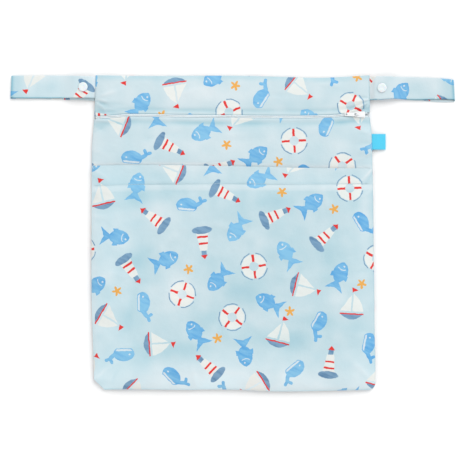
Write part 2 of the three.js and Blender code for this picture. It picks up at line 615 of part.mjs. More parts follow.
// Poppers: each half is a cap outside the cloth, a post through it, and a socket or a stud inside.
function turned(profile) {
  const points = profile.map(([r, z]) => new THREE.Vector2(r, z));
  return new THREE.LatheGeometry(points, 16).rotateX(Math.PI / 2);
}
const RECESS = SOCKET_HEIGHT - SOCKET_FLOOR;
const frontPopper = turned([
  [0, socketBase + RECESS], [NUB_RADIUS + POST_CLEARANCE, socketBase + RECESS],
  [NUB_RADIUS + POST_CLEARANCE, socketBase], [SOCKET_RADIUS, socketBase],
  [SOCKET_RADIUS, socketBase + SOCKET_HEIGHT], [POST_RADIUS, socketBase + SOCKET_HEIGHT],
  [POST_RADIUS, frontCapBase], [CAP_RADIUS - CAP_UNDERCUT, frontCapBase],
  [CAP_RADIUS, frontCapBase + CAP_RIM],
  [CAP_RADIUS - CAP_BEVEL, frontCapBase + CAP_THICKNESS - CAP_CROWN], [0, frontCapBase + CAP_THICKNESS],
]);
const rearPopper = turned([
  [0, 0], [CAP_RADIUS - CAP_BEVEL, 0], [CAP_RADIUS, CAP_THICKNESS - CAP_RIM],
  [CAP_RADIUS - CAP_UNDERCUT, CAP_THICKNESS],
  [POST_RADIUS, CAP_THICKNESS], [POST_RADIUS, studBase], [STUD_RADIUS, studBase],
  [STUD_RADIUS, studBase + STUD_HEIGHT], [NUB_RADIUS, studBase + STUD_HEIGHT],
  [NUB_RADIUS, studBase + STUD_HEIGHT + NUB_HEIGHT], [0, studBase + STUD_HEIGHT + NUB_HEIGHT],
]);
for (const strap of STRAPS) {
  const { seamX, geometry } = strapBand(strap);
  const [x, y] = popperPlace(seamX, strap.side, strap.topAtSeam, strap.lowAtSeam);
  addPiece(`${strap.name}_strap`, geometry, COLOURS.cloth);
  for (const [word, half] of [['front', frontPopper], ['rear', rearPopper]]) {
    const popper = addPiece(`${strap.name}_popper_${word}`, half, COLOURS.cap, { roughness: 0.3 });
    popper.position.set(x, y, 0);
  }
}

// Label: a ribbon folded in half, its two ends caught in the right side seam.
function labelRibbon() {
  const bend = (LABEL_RIBBON + SEAM_GAP) / 2;
  const middle = CLOTH + BACK_LIFT + SEAM_GAP + LABEL_STACK / 2;
  const reach = LABEL_REACH - bend - LABEL_RIBBON / 2;
  const droop = (out) => -LABEL_DROOP * smooth(out / reach);
  const outs = [-LABEL_TUCK, ...[0.065, 0.26, 0.52, 0.77, 1].map((share) => share * reach)];
  const path = outs.map((out) => [out, middle + bend + droop(out)]);
  for (let k = 1; k < 5; k += 1) {
    const turn = (Math.PI * k) / 5;
    path.push([reach + bend * Math.sin(turn), middle + droop(reach) + bend * Math.cos(turn)]);
  }
  path.push(...outs.toReversed().map((out) => [out, middle - bend + droop(out)]));
  const seamX = rightEdge(LABEL_Y);
  return sheet(path.length - 1, 1, (i, j, face) => {
    const before = path[Math.max(i - 1, 0)];
    const after = path[Math.min(i + 1, path.length - 1)];
    const tangent = new THREE.Vector2(after[0] - before[0], after[1] - before[1]).normalize();
    const thick = (face - 0.5) * LABEL_RIBBON;
    const [out, up] = path[i];
    return [seamX + out - tangent.y * thick, LABEL_Y + (j - 0.5) * LABEL_WIDTH, up + tangent.x * thick];
  });
}
addPiece('side_label', labelRibbon(), COLOURS.label);

// The whole bag stands with the middle of its footprint at the origin.
const footprint = new THREE.Box3().setFromObject(bag, true);
const middle = footprint.getCenter(new THREE.Vector3());
bag.position.set(-middle.x, -middle.y, -footprint.min.z);

export default bag;
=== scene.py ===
"""A zipped cloth wet bag, lying flat on its back, with a front pocket, folded popper straps and a side label.

Lengths inside the shape functions are in millimetres, and every mesh is made in metres in the CAD's frame.
"""

import json
import math

import bpy
import numpy as np
from bpy.props import FloatProperty, FloatVectorProperty, PointerProperty
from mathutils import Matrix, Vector


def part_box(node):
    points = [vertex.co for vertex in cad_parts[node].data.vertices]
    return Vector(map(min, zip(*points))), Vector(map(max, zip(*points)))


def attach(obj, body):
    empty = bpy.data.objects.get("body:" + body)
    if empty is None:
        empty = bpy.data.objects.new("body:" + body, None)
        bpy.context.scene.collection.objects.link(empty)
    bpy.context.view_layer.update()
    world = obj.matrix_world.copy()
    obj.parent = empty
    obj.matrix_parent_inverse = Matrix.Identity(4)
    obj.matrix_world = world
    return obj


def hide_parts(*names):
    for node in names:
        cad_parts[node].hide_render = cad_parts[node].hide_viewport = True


bl_info = {
    "name": "Wet Bag",
    "version": (1, 0, 0),
    "blender": (4, 5, 0),
    "location": "View3D > Sidebar > Wet Bag",
    "description": "Builds a zipped cloth wet bag with a front pocket and popper straps",
    "category": "Object",
}

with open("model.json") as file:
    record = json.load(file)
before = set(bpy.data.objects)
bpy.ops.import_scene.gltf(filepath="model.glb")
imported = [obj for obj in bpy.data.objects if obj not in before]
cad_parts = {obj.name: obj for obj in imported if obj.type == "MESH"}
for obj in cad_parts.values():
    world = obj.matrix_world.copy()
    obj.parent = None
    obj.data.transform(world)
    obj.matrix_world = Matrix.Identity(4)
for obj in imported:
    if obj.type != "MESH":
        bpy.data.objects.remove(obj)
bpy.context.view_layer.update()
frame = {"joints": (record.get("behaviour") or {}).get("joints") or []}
BAG = "bag"
MM = 0.001

# ---- The bag's form, as in the solids -----------------------------------------------------------

WIDTH = 330
HEIGHT = 364.5
CLOTH = 1
SEAM_GAP = 0.38
MAIN_LOFT = 6
POCKET_LOFT = 5.6
SIDE_ROLL = 48
TOP_ROLL = 40
BOTTOM_ROLL = 48
BACK_LIFT = 1
BACK_ROLL = 20
CORNER_CUT = 12
CORNER_ROUND = 8
MOUTH_BELOW_TOP = 106
ZIP_BELOW_TOP = 47.3
HEM_DEPTH = 20.3
HEM_TILT = 2.9
STRAP_REACH = 99.8
STRAP_WIDTH = 27
STRAP_TUCK = 4
LABEL_BELOW_TOP = 77.2
LABEL_WIDTH = 18.2
LABEL_RIBBON = 0.5
LABEL_TUCK = 5
TUCK_EASE = 8
SLIDER_BEHIND_EDGE = 12.6
SLIDER_LENGTH = 12.6
COIL_HEIGHT = 1.2
TAPE_DROP = 0.55
TAPE = 0.7
ZIP_PARTING = 1.15  # how far each side of the zip moves out behind the slider
PARTING_RUN = 2.5
PULL_LENGTH = 14.6
PLATE = 0.9  # thickness of the slider's plates and of the pull
STRAP_CLOTH = 0.9
STRAP_CAMBER = 0.05
POPPER_FROM_SEAM = 14
POPPER_FOOT = 1.05  # height of the rear half's cap
POPPER_CLEAR = 6.4  # how far to each side of a popper the strap stays level
HEM_TURN = 0.7  # how much thicker the pocket's turned hem is
RIM = 6.2  # width of the close rows of points along every edge

TOP_Y = HEIGHT / 2
BOTTOM_Y = -HEIGHT / 2
HALF = WIDTH / 2
LABEL_Y = TOP_Y - LABEL_BELOW_TOP
SLIDER_U = 1 - 2 * SLIDER_BEHIND_EDGE / WIDTH


def table(columns, *rows):
    """Rows of numbers under named columns."""
    return dict(zip(columns.split(), np.array(rows, float).T))


SIDES = table(
    "down left right",
    (0.0, 0.963, 0.965),
    (0.08, 0.968, 0.967),
    (0.137, 0.974, 0.968),
    (0.175, 0.981, 0.978),
    (0.213, 0.988, 0.982),
    (0.289, 0.99, 0.986),
    (0.404, 0.991, 0.991),
    (0.556, 0.993, 0.994),
    (0.715, 0.991, 0.999),
    (0.824, 0.984, 1.001),
    (0.9, 0.978, 1.006),
    (1.0, 0.974, 1.006),
)
TOP_EDGE = table(
    "across up",
    (-1, 0.0),
    (-0.53, -0.0019),
    (-0.09, -0.0006),
    (0.2, -0.0025),
    (0.49, -0.0064),
    (0.64, -0.0076),
    (0.82, -0.0045),
    (1, 0.0),
)
BOTTOM_EDGE = table(
    "across up",
    (-1, -0.002),
    (-0.85, -0.0009),
    (-0.6, -0.0015),
    (-0.38, -0.0029),
    (-0.24, -0.0015),
    (-0.03, -0.0018),
    (0.09, -0.0038),
    (0.21, -0.0066),
    (0.35, -0.0076),
    (0.5, -0.007),
    (0.65, -0.0056),
    (0.8, -0.0046),
    (1, -0.0025),
)
ZIP_LINE = table(
    "across up",
    (-1, -0.006),
    (-0.86, -0.0019),
    (-0.73, 0.0019),
    (-0.38, -0.0006),
    (0, -0.0022),
    (0.49, -0.0035),
    (0.71, -0.0013),
    (0.86, 0.0035),
    (1, 0.0038),
)
MOUTH_LINE = table("across up", (-1, 0.0025), (-0.5, 0.0035), (0, 0.0), (0.5, -0.0051), (1, -0.007))
SWELLS = table(
    "across up long wide turn rise",
    (-0.55, 0.3, 0.26, 0.12, 68, 0.13),
    (-0.1, 0.22, 0.22, 0.1, 20, -0.1),
    (0.42, 0.33, 0.28, 0.11, 112, 0.12),
    (0.05, 0.52, 0.3, 0.11, -14, 0.1),
    (-0.5, 0.64, 0.24, 0.1, 8, -0.08),
    (0.6, 0.62, 0.2, 0.09, 35, 0.09),
    (0.1, 0.8, 0.34, 0.08, 2, 0.08),
)
# Each strap's edges below the bag's top edge, as shares of its width, from its seam at 0 to its fold at 1:
# the front layer's upper and lower edge, and the back layer's lower edge.
LEFT_EDGES = table(
    "out top low behind",
    (0, 0.05, 0.985, 1.1),
    (0.15, 0.046, 0.97, 1.055),
    (0.3, 0.02, 0.972, 1.045),
    (0.45, 0.004, 0.985, 1.042),
    (0.6, 0.002, 0.985, 1.022),
    (0.8, 0.004, 0.985, 1.003),
    (1, 0.012, 0.985, 0.998),
)
RIGHT_EDGES = table(
    "out top low behind",
    (0, 0.043, 1.06, 1.064),
    (0.12, 0.045, 1.045, 1.05),
    (0.2, 0.05, 1.022, 1.018),
    (0.28, 0.055, 1.01, 1.0),
    (0.36, 0.06, 1.02, 1.012),
    (0.45, 0.068, 1.045, 1.06),
    (0.6, 0.08, 1.052, 1.1),
    (0.72, 0.094, 1.04, 1.122),
    (0.85, 0.13, 1.035, 1.15),
    (0.94, 0.16, 1.05, 1.148),
    (1, 0.182, 1.08, 1.135),
)
# hang and popper are shares of the width below the top edge: where the solid's lower edge is at the seam, and
# the popper's middle. short: how much shorter the strap is along its lower and its upper edge. slit: how far
# the painted shadow under its front layer runs out from the seam. root: where the painted light by the seam is
# brightest. These three are in millimetres. cool: how much bluer its ground is.
STRAPS = {
    "left": {
        "side": -1, "edges": LEFT_EDGES, "hang": 1.0775, "popper": 0.5075, "short": (0.75, 1.85),
        "slit": -4, "root": 0, "cool": 0.65,
    },
    "right": {
        "side": 1, "edges": RIGHT_EDGES, "hang": 1.123, "popper": 0.5485, "short": (0.35, 1.9),
        "slit": 8, "root": 2.5, "cool": 0.2,
    },
}

# Creases that the cloth took from being sewn, turned and folded. Each starts at x, y, runs long at turn
# degrees, and is a ridge, or a valley where its rise is below 0. Sharp ones are narrow at their start.
BAND_CREASES = table(
    "x y long wide turn rise",
    (-158, 154, 24, 1.3, -20, 1.0),
    (-158, 153, 22, 1.2, -34, -0.9),
    (-157, 150, 30, 1.3, -52, 1.0),
    (-156, 149, 44, 1.9, -8, -0.7),
    (-152, 158, 30, 2.2, 12, 0.7),
    (-150, 143, 36, 1.5, -14, 0.9),
    (158, 154, 30, 1.2, 182, 1.2),
    (158, 152, 40, 1.2, 194, -1.2),
    (157, 151, 52, 1.5, 203, 1.2),
    (157, 156, 24, 1.4, 168, -0.8),
    (156, 149, 24, 1.2, 222, -1.1),
    (150, 139, 60, 1.6, 184, 0.8),
    (-60, 160, 50, 3.6, 8, 0.35),
    (40, 158, 60, 3.4, -5, -0.35),
    (100, 172, 46, 3.0, -12, 0.35),
)
FRONT_CREASES = table(
    "x y long wide turn rise",
    (-160, 130, 34, 1.6, -12, 0.9),
    (-161, 124, 24, 1.4, -30, -0.8),
    (-162, 116, 28, 1.9, 20, -0.7),
    (163, 114, 26, 1.4, 158, 0.9),
    (164, 95, 28, 1.5, 205, 0.9),
    (163, 105, 30, 1.9, 182, -0.8),
    (-163, 96, 22, 1.4, -24, 0.7),
    (-100, 108, 60, 3.6, 4, -0.4),
    (-10, 112, 70, 3.8, -4, 0.4),
    (70, 104, 50, 3.4, 10, -0.35),
)
POCKET_CREASES = table(
    "x y long wide turn rise",
    (164, 76, 36, 1.3, 222, 1.5),
    (164, 72, 30, 1.2, 232, -1.2),
    (164, 64, 26, 1.5, 248, 0.9),
    (165, 50, 40, 2.6, 200, 0.6),
    (-163, 74, 32, 1.5, -38, 1.2),
    (-163, 66, 30, 1.4, -52, -1.0),
    (-163, 56, 38, 2.2, -62, 0.7),
    (-163, 20, 34, 2.6, -20, 0.5),
    (-162, -60, 40, 2.6, 24, 0.6),
    (-156, -168, 46, 2.8, 38, 0.8),
    (-140, -176, 34, 2.4, 62, -0.5),
    (162, -170, 50, 2.8, 132, 0.8),
    (165, -120, 36, 2.6, 168, 0.5),
    (166, -40, 40, 2.8, 190, -0.5),
    (-40, -180, 40, 3.0, 96, 0.5),
    (60, -181, 36, 3.0, 82, 0.5),
    (-96, -30, 80, 5.0, 34, 0.45),
    (-20, 10, 90, 5.5, -28, 0.45),
    (70, -60, 80, 5.0, 58, -0.45),
    (20, -110, 90, 5.5, 14, 0.4),
    (-120, -100, 60, 4.6, 70, -0.4),
    (110, 30, 60, 4.6, 100, 0.45),
)

# Where the cloth lies in soft shade, or catches light where its shade is below 0.
SHADES = table(
    "x y long wide turn shade",
    (-111, 40, 15, 11, 0, 0.45),
    (49, 36, 20, 10, 0, 0.3),
    (-8, 12, 26, 14, 20, 0.25),
    (-115, -36, 17, 13, 15, 0.35),
    (76, 2, 16, 17, 0, 0.3),
    (12, -74, 24, 22, 30, 0.4),
    (60, -125, 40, 13, -4, 0.5),
    (103, -103, 20, 9, -8, 0.4),
    (-69, -137, 40, 10, 4, 0.45),
    (-26, -102, 18, 17, 0, 0.3),
    (110, -40, 18, 40, 0, 0.25),
    (-120, -100, 22, 20, 0, 0.2),
    (-124, -12, 15, 13, 0, -0.35),
    (-61, -64, 18, 15, 60, -0.45),
    (-85, 20, 20, 10, 50, -0.2),
    (153, 34, 9, 32, 0, -0.35),
    (-166, -20, 9, 200, 0, -0.5),
    (-142, -70, 14, 110, 0, -0.12),
    (0, -184, 200, 7, 0, -0.5),
    (163, -60, 7, 120, 0, 0.2),
    (0, -29, 190, 24, 0, 0.18),
    (0, -68, 190, 14, 0, 0.14),
    (0, -118, 190, 20, 0, 0.11),
    (-108, -60, 10, 120, 0, 0.18),
    (53, -60, 18, 110, 0, 0.12),
    (96, -60, 26, 110, 0, 0.08),
    (141, -70, 12, 110, 0, 0.24),
    (0, 154, 190, 10, 0, -0.13),
    (0, 103, 190, 9, 0, -0.16),
    (125, -70, 16, 10, 40, -0.2),
    (0, -170, 190, 14, 0, -0.56),
    (-20, 160, 60, 12, 0, -0.25),
    (-85, 158, 16, 12, 0, 0.15),
    (60, 150, 60, 7, 0, 0.15),
    (-150, 140, 16, 12, -30, 0.35),
    (150, 142, 20, 8, 20, 0.3),
)


def along(rows, key, value, at):
    """The smooth curve through a table's rows."""
    x, y = rows[key], rows[value]
    at = np.clip(at, x[0], x[-1])
    k = np.clip(np.searchsorted(x, at, side="right") - 1, 0, len(x) - 2)
    before, after = np.maximum(np.arange(len(x)) - 1, 0), np.minimum(np.arange(len(x)) + 1, len(x) - 1)
    slope = (y[after] - y[before]) / (x[after] - x[before])
    step = x[k + 1] - x[k]
    t = (at - x[k]) / step
    p, q, m, n = y[k], y[k + 1], slope[k] * step, slope[k + 1] * step
    return p + t * (m + t * (3 * (q - p) - 2 * m - n + t * (2 * (p - q) + m + n)))


def smooth(t):
    t = np.clip(t, 0, 1)
    return t * t * (3 - 2 * t)


def faded(t):
    return 1 - smooth(t)


def climb(distance, roll):
    """A quarter of an ellipse, from 0 at a seam to 1 at a distance of roll."""
    return np.sqrt(1 - (1 - np.clip(distance / roll, 0, 1)) ** 2)


def top_edge(u):
    return TOP_Y + HEIGHT * along(TOP_EDGE, "across", "up", u)


def bottom_edge(u):
    return BOTTOM_Y + HEIGHT * along(BOTTOM_EDGE, "across", "up", u)


def zip_line(u):
    return TOP_Y - ZIP_BELOW_TOP + HEIGHT * along(ZIP_LINE, "across", "up", u)


def mouth_line(u):
    return TOP_Y - MOUTH_BELOW_TOP + HEIGHT * along(MOUTH_LINE, "across", "up", u)


def hem_line(u):
    """The line of stitches along the pocket's hem."""
    return mouth_line(u) - HEM_DEPTH + HEM_TILT * u


def left_edge(y):
    cut = np.maximum(CORNER_CUT - (y - bottom_edge(-1)), 0)
    return -HALF * along(SIDES, "down", "left", (TOP_Y - y) / HEIGHT) + cut


def right_edge(y):
    short = np.maximum(CORNER_ROUND - (y - bottom_edge(1)), 0)
    cut = CORNER_ROUND - np.sqrt(np.maximum(CORNER_ROUND**2 - short**2, 0))
    return HALF * along(SIDES, "down", "right", (TOP_Y - y) / HEIGHT) - cut


def across_at(u, y):
    return left_edge(y) + (right_edge(y) - left_edge(y)) * (u + 1) / 2


def u_at(x, y):
    return 2 * (x - left_edge(y)) / (right_edge(y) - left_edge(y)) - 1


def bell(distance, width):
    return np.exp(-((distance / width) ** 2))


def along_and_off(x, y, turn):
    """How far a place lies along a line at turn degrees through the origin, and how far off it."""
    c, s = math.cos(math.radians(turn)), math.sin(math.radians(turn))
    return x * c + y * s, y * c - x * s


def creases(rows, x, y):
    total = np.zeros_like(x)
    for x0, y0, long, wide, turn, rise in zip(*rows.values()):
        run, off = along_and_off(x - x0, y - y0, turn)
        share = run / long
        bend = off - 0.06 * long * np.sin(np.clip(share, 0, 1) * 2.6)
        spread = wide * (0.7 + 0.9 * np.clip(share, 0, 1))
        total += rise * (smooth(share * 6 + 0.5) * faded(share * 1.25 - 0.25)) * bell(bend, spread)
    return total


def blots(rows, x, y):
    """The sum of a table's soft oval spots. Its last column says how strong each is."""
    total = np.zeros_like(x)
    for x0, y0, long, wide, turn, amount in zip(*rows.values()):
        run, off = along_and_off(x - x0, y - y0, turn)
        total += amount * np.exp(-((run / long) ** 2) - (off / wide) ** 2)
    return total


def swell(x, y):
    """The broad swells and dents of the whole front, as a share of its loft."""
    places = {"x": SWELLS["across"] * HALF, "y": BOTTOM_Y + SWELLS["up"] * HEIGHT}
    sizes = {"long": SWELLS["long"] * WIDTH, "wide": SWELLS["wide"] * WIDTH}
    return blots({**places, **sizes, "turn": SWELLS["turn"], "rise": SWELLS["rise"]}, x, y)


def noise(x, y, size, seed):
    """Smooth random heights between -1 and 1, the same on every run."""
    grid = np.random.default_rng(seed).uniform(-1, 1, (96, 96))
    gx, gy = x / size + 48, y / size + 48
    i, j = np.floor(gx).astype(int), np.floor(gy).astype(int)
    fx, fy = smooth(gx - i), smooth(gy - j)
    i, j = i % 95, j % 95
    low = grid[i, j] * (1 - fx) + grid[i + 1, j] * fx
    high = grid[i, j + 1] * (1 - fx) + grid[i + 1, j + 1] * fx
    return low * (1 - fy) + high * fy


def crumple(x, y, seed):
    """Soft crinkles of laminated cloth: bent ridges between flatter facets."""
    wx = x + 7 * noise(x, y, 31, seed + 1)
    wy = y + 7 * noise(x, y, 31, seed + 2)
    broad = 0.5 - np.abs(noise(wx, wy, 34, seed + 3))
    fine = 0.5 - np.abs(noise(wx, wy, 15, seed + 4))
    return 0.55 * broad + 0.22 * fine + 0.5 * noise(x, y, 60, seed + 5)


def seam_bulk(u, y, inset):
    """The bulk that a strap's end or the label adds to the side seam that it is caught in."""
    hang = [STRAP_WIDTH * strap["hang"] for strap in STRAPS.values()]
    above = (y - TOP_Y + np.where(u < 0, *hang)) / TUCK_EASE
    by_strap = smooth(above + 1.4) * faded((inset - STRAP_TUCK - 4) / 25)
    beyond = np.abs(y - LABEL_Y) - LABEL_WIDTH / 2 - 2
    by_label = faded(beyond / TUCK_EASE) * faded((inset - LABEL_TUCK - 4) / 20) * (u > 0)
    return by_strap * (CLOTH + SEAM_GAP) + by_label * (2 * LABEL_RIBBON + 2 * SEAM_GAP)


def levels(u, y):
    """The heights of the bag's layers. The solids' gaps between them close up at the seams here."""
    x = across_at(u, y)
    inset = np.minimum(x - left_edge(y), right_edge(y) - x)
    from_top, from_bottom = top_edge(u) - y, y - bottom_edge(u)
    nearest = np.minimum(np.minimum(inset, from_top), from_bottom)
    sides = climb(inset, SIDE_ROLL) * climb(from_bottom, BOTTOM_ROLL)
    puff = sides * climb(from_top, TOP_ROLL)
    back = BACK_LIFT * (1 - climb(nearest, BACK_ROLL)) + CLOTH / 2
    front = back + 0.82 + seam_bulk(u, y, inset) + puff * (MAIN_LOFT * (1 + swell(x, y)) + 0.56)
    from_zip = y - zip_line(u)
    off_zip = np.where(from_zip > 0, 6.6, 8.2)
    channel = bell(np.abs(from_zip) - off_zip, 2.5) * (0.75 + 0.3 * noise(x, y, 26, 8))
    ridge = bell(np.abs(from_zip) - 3.6, 1.7)
    ease = climb(nearest, 10)
    near_seam = faded(nearest / 13) * smooth(nearest / 2)
    pucker = near_seam * (0.30 + 0.3 * noise(x + y, x - y, 11, 21))
    band_or_front = np.where(from_zip > 0, creases(BAND_CREASES, x, y), creases(FRONT_CREASES, x, y))
    front = front + ease * (0.32 * ridge - 0.62 * channel + band_or_front + 0.7 * crumple(x, y, 40)) + pucker
    by_mouth, by_hem = mouth_line(u) - y, hem_line(u) - y
    stitch, below_stitch = bell(by_hem, 1.1), bell(by_hem - 4, 2.9)
    along_stitch = bell(by_hem, 7.0) * noise(x, y * 0.4, 6.5, 33)
    pocket_puff = POCKET_LOFT + 0.56 + creases(POCKET_CREASES, x, y) + 1.05 * crumple(x, y, 70)
    pocket_puff = pocket_puff + 0.28 * below_stitch + 0.22 * along_stitch
    pocket_puff = pocket_puff * (0.45 + 0.55 * smooth((by_mouth + 2) / 50))
    pocket = front + 0.82 + sides * pocket_puff - 0.28 * stitch * ease + 0.5 * pucker
    # The tones are painted shade that deepens the cloth, and painted light where they fall below 0, over some
    # random variation.
    shade = 0.52 + blots(SHADES, x, y) + 0.14 * noise(x, y, 24, 90) + 0.12 * noise(x, y, 11, 95)
    # Painted shade along the rolled right and top edges.
    edge_shade = faded((right_edge(y) - x) / 1.8) * 0.5 + faded(from_top / 8) * 0.42
    # Painted shadow of the upper cloth's edge over the slot above the zip.
    slot = faded((np.abs(from_zip) - 1.6) / 1.0) * (from_zip > 0)
    # Painted shade in the channels beside the zip.
    channel_shade = (0.5 + 0.3 * (from_zip < 0)) * channel * (1 + 0.5 * noise(x, y * 3, 18, 97))
    shade = shade + channel_shade + edge_shade + slot
    # Painted shade in the creases' valleys, painted light on their ridges and painted light just above the
    # pocket's mouth.
    shade_front = shade - 0.3 * band_or_front - 0.45 * bell(by_mouth + 1.8, 1.9)
    # Painted shade on the pocket below its hem.
    under_hem_shade = smooth((by_hem - 6.2) / 2.5) * bell(by_hem - 8.7, 24)
    hem_band = smooth(by_mouth / 20) * smooth((1.2 - by_hem) / 2)
    # Painted shade at the stitch line, over the hem band and in the pocket's crease valleys, with painted light on
    # their ridges and just below the stitches.
    shade_pocket = shade + 0.3 * under_hem_shade - 0.04 * below_stitch + 0.2 * stitch + 0.25 * hem_band
    shade_pocket = shade_pocket - 0.3 * creases(POCKET_CREASES, x, y)
    # Painted shade along the rolled bottom edge.
    shade_pocket = shade_pocket + 0.45 * faded(from_bottom / 2.2)
    painted_shades = {"back": shade * 0 + 0.45, "front": shade_front, "pocket": shade_pocket}
    # The tints make the ground bluer, a painted tint of the shaded cloth that grows towards the left and bottom
    # edges.
    from_left = x - left_edge(y)
    rim_tint = 1 - smooth(np.minimum(from_left, from_bottom) / 3.5)
    cool = 0.15 + 1 - smooth(from_left / 85) + smooth((-125 - y) / 45) + 1.5 * rim_tint
    painted_tints = {"back": shade * 0, "front": 0.3 * (from_zip < 0) + 0.5 * rim_tint, "pocket": cool}
    return {"x": x, "back": back, "front": front, "pocket": pocket, "painted_shades": painted_shades, "painted_tints": painted_tints}


def zip_level(u):
    """The underside of the solids' front cloth at the zip, which carries the tapes and coils."""
    y = zip_line(u)
    x = across_at(u, y)
    inset = np.minimum(x - left_edge(y), right_edge(y) - x)
    puff = climb(inset, SIDE_ROLL) * climb(y - bottom_edge(u), BOTTOM_ROLL) * climb(top_edge(u) - y, TOP_ROLL)
    lift = BACK_LIFT * (1 - climb(inset, BACK_ROLL))
    return lift + CLOTH + SEAM_GAP + seam_bulk(u, y, inset) + puff * MAIN_LOFT * (1 + swell(x, y))


def frame_shift():
    """Moves the functions' own middle onto the CAD's origin, in millimetres."""
    low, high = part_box("back_panel")
    y = np.linspace(BOTTOM_Y, TOP_Y, 2001)
    mid_x = (left_edge(y).min() + right_edge(y).max()) / 2
    return np.array([(low[0] + high[0]) / 2 / MM - mid_x, high[1] / MM - TOP_Y, 0.0])


SHIFT = frame_shift()


# ---- Mesh making ----------------------------------------------------------------------------------


def new_piece(name, points, faces, slot, materials, body=BAG, uv=None, face_slots=None, tone=None, cool=None):
    """A mesh piece from millimetre points, riding on a body of the frame.

    Its tone is painted shade that deepens the cloth's colours, or painted light that lightens them below 0, and
    its cool makes their ground bluer, on the panels as a painted tint of the shaded cloth towards the left and
    bottom edges.
    """
    mesh = bpy.data.meshes.new(name)
    places = (np.asarray(points, float) + SHIFT) * MM
    mesh.from_pydata(places.tolist(), [], [list(map(int, f)) for f in faces])
    for material in materials:
        mesh.materials.append(material)
    if face_slots is not None:
        mesh.polygons.foreach_set("material_index", np.asarray(face_slots, np.int32))
    mesh.polygons.foreach_set("use_smooth", [True] * len(mesh.polygons))
    for label, values in (("tone", tone), ("cool", cool)):
        if values is not None:
            attribute = mesh.attributes.new(label, "FLOAT", "POINT")
            attribute.data.foreach_set("value", np.asarray(values, np.float32))
    if uv is not None:
        layer = mesh.uv_layers.new(name="cloth")
        corner = np.empty(len(mesh.loops), np.int32)
        mesh.loops.foreach_get("vertex_index", corner)
        layer.data.foreach_set("uv", (np.asarray(uv, np.float32)[corner] * MM).ravel())
    mesh.validate()
    mesh.update()
    obj = bpy.data.objects.new(name, mesh)
    bpy.context.scene.collection.objects.link(obj)
    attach(obj, body)
    return obj


def rounding(distance, thickness):
    """The thickness of cloth that ends in a round edge."""
    return thickness * np.sqrt(1 - (1 - np.clip(distance / (thickness / 2), 0, 1)) ** 2)


def shell(x, y, mid, thick):
    """A closed shell about a grid's middle surface. Its rim is one ring of points."""
    rows, cols = x.shape
    top = np.stack([x, y, mid + thick / 2], -1)
    under = np.stack([x, y, mid - thick / 2], -1)
    index_top = np.arange(rows * cols).reshape(rows, cols)
    index_under = np.full((rows, cols), -1)
    inner = np.zeros((rows, cols), bool)
    inner[1:-1, 1:-1] = True
    index_under[~inner] = index_top[~inner]
    index_under[inner] = rows * cols + np.arange(inner.sum())
    top[~inner, 2] = mid[~inner]
    points = np.concatenate([top.reshape(-1, 3), under[inner]])
    a, b, c, d = (index_top[:-1, :-1], index_top[:-1, 1:], index_top[1:, 1:], index_top[1:, :-1])
    e, f, g, h = (index_under[:-1, :-1], index_under[:-1, 1:], index_under[1:, 1:], index_under[1:, :-1])
    faces_top = np.stack([a, b, c, d], -1).reshape(-1, 4)
    faces_under = np.stack([e, h, g, f], -1).reshape(-1, 4)
    source = np.concatenate([np.arange(rows * cols), np.flatnonzero(inner.ravel())])
    return points, faces_top, faces_under, source


def stations(low, high, step):
    """Places from low to high, closer together at both ends."""
    rim = np.array([0, 0.05, 0.14, 0.28, 0.45, 0.8, 1.4, 2.2, 3.2, 4.5])
    count = max(int(round((high - low - 2 * RIM) / step)), 1)
    return np.concatenate([low + rim, np.linspace(low + RIM, high - RIM, count + 1), high - rim[::-1]])


def ring_faces(rings, sides):
    """The faces of a skin over rings of points, with a cap at each end."""
    k, j = np.meshgrid(np.arange(rings - 1), np.arange(sides), indexing="ij")
    a, b = (k * sides + j).ravel(), (k * sides + (j + 1) % sides).ravel()
    end = np.arange(sides)
    skin = np.stack([a, b, b + sides, a + sides], -1).tolist()
    return skin + [end[::-1].tolist(), (end + (rings - 1) * sides).tolist()]


def band(path, width_at, low_at, thickness, camber, slices=9):
    """A flat tube along a path in the x-z plane. width_at and low_at give its lower edge and width in y."""
    path = np.asarray(path, float)
    tangent = np.gradient(path, axis=0)
    tangent /= np.linalg.norm(tangent, axis=1)[:, None]
    normal = np.stack([-tangent[:, 1], tangent[:, 0]], -1)
    ring = []
    for face in (1, -1):
        for k in range(slices):
            ring.append((face * (-1 + 2 * (k + 0.5) / slices), 0.5 * face))
        for k in range(5):
            turn = math.pi * (k + 0.5) / 5
            ring.append((face * (1 + math.sin(turn) * thickness), 0.5 * face * math.cos(turn)))
    points, uv = [], []
    run = np.concatenate([[0], np.cumsum(np.linalg.norm(np.diff(path, axis=0), axis=1))])
    for k, (place, up) in enumerate(zip(path, normal)):
        half = width_at[k] / 2 - thickness / 2
        for across, lift in ring:
            beyond = math.copysign(max(abs(across) - 1, 0) / thickness * (thickness / 2), across)
            y = low_at[k] + width_at[k] / 2 + min(max(across, -1), 1) * half + beyond
            swell_out = camber * (1 - min(abs(across), 1) ** 2) * (1 if lift > 0 else -1) * (abs(lift) == 0.5)
            z = lift * thickness + swell_out
            points.append((place[0] + up[0] * z, y, place[1] + up[1] * z))
            uv.append((run[k], y))
    return np.array(points), ring_faces(len(path), len(ring)), np.array(uv)


def lathe(profile, segments=48):
    """A closed solid turned about z from radius and height pairs that start and end on the axis."""
    points, faces = [], []
    rings = profile[1:-1]
    points.append((0, 0, profile[0][1]))
    for radius, height in rings:
        for k in range(segments):
            turn = 2 * math.pi * k / segments
            points.append((radius * math.cos(turn), radius * math.sin(turn), height))
    points.append((0, 0, profile[-1][1]))
    for k in range(segments):
        after = (k + 1) % segments
        faces.append((0, 1 + after, 1 + k))
        for j in range(len(rings) - 1):
            a, b = 1 + j * segments + k, 1 + j * segments + after
            faces.append((a, b, b + segments, a + segments))
        base = 1 + (len(rings) - 1) * segments
        faces.append((base + k, base + after, len(points) - 1))
    return np.array(points), faces


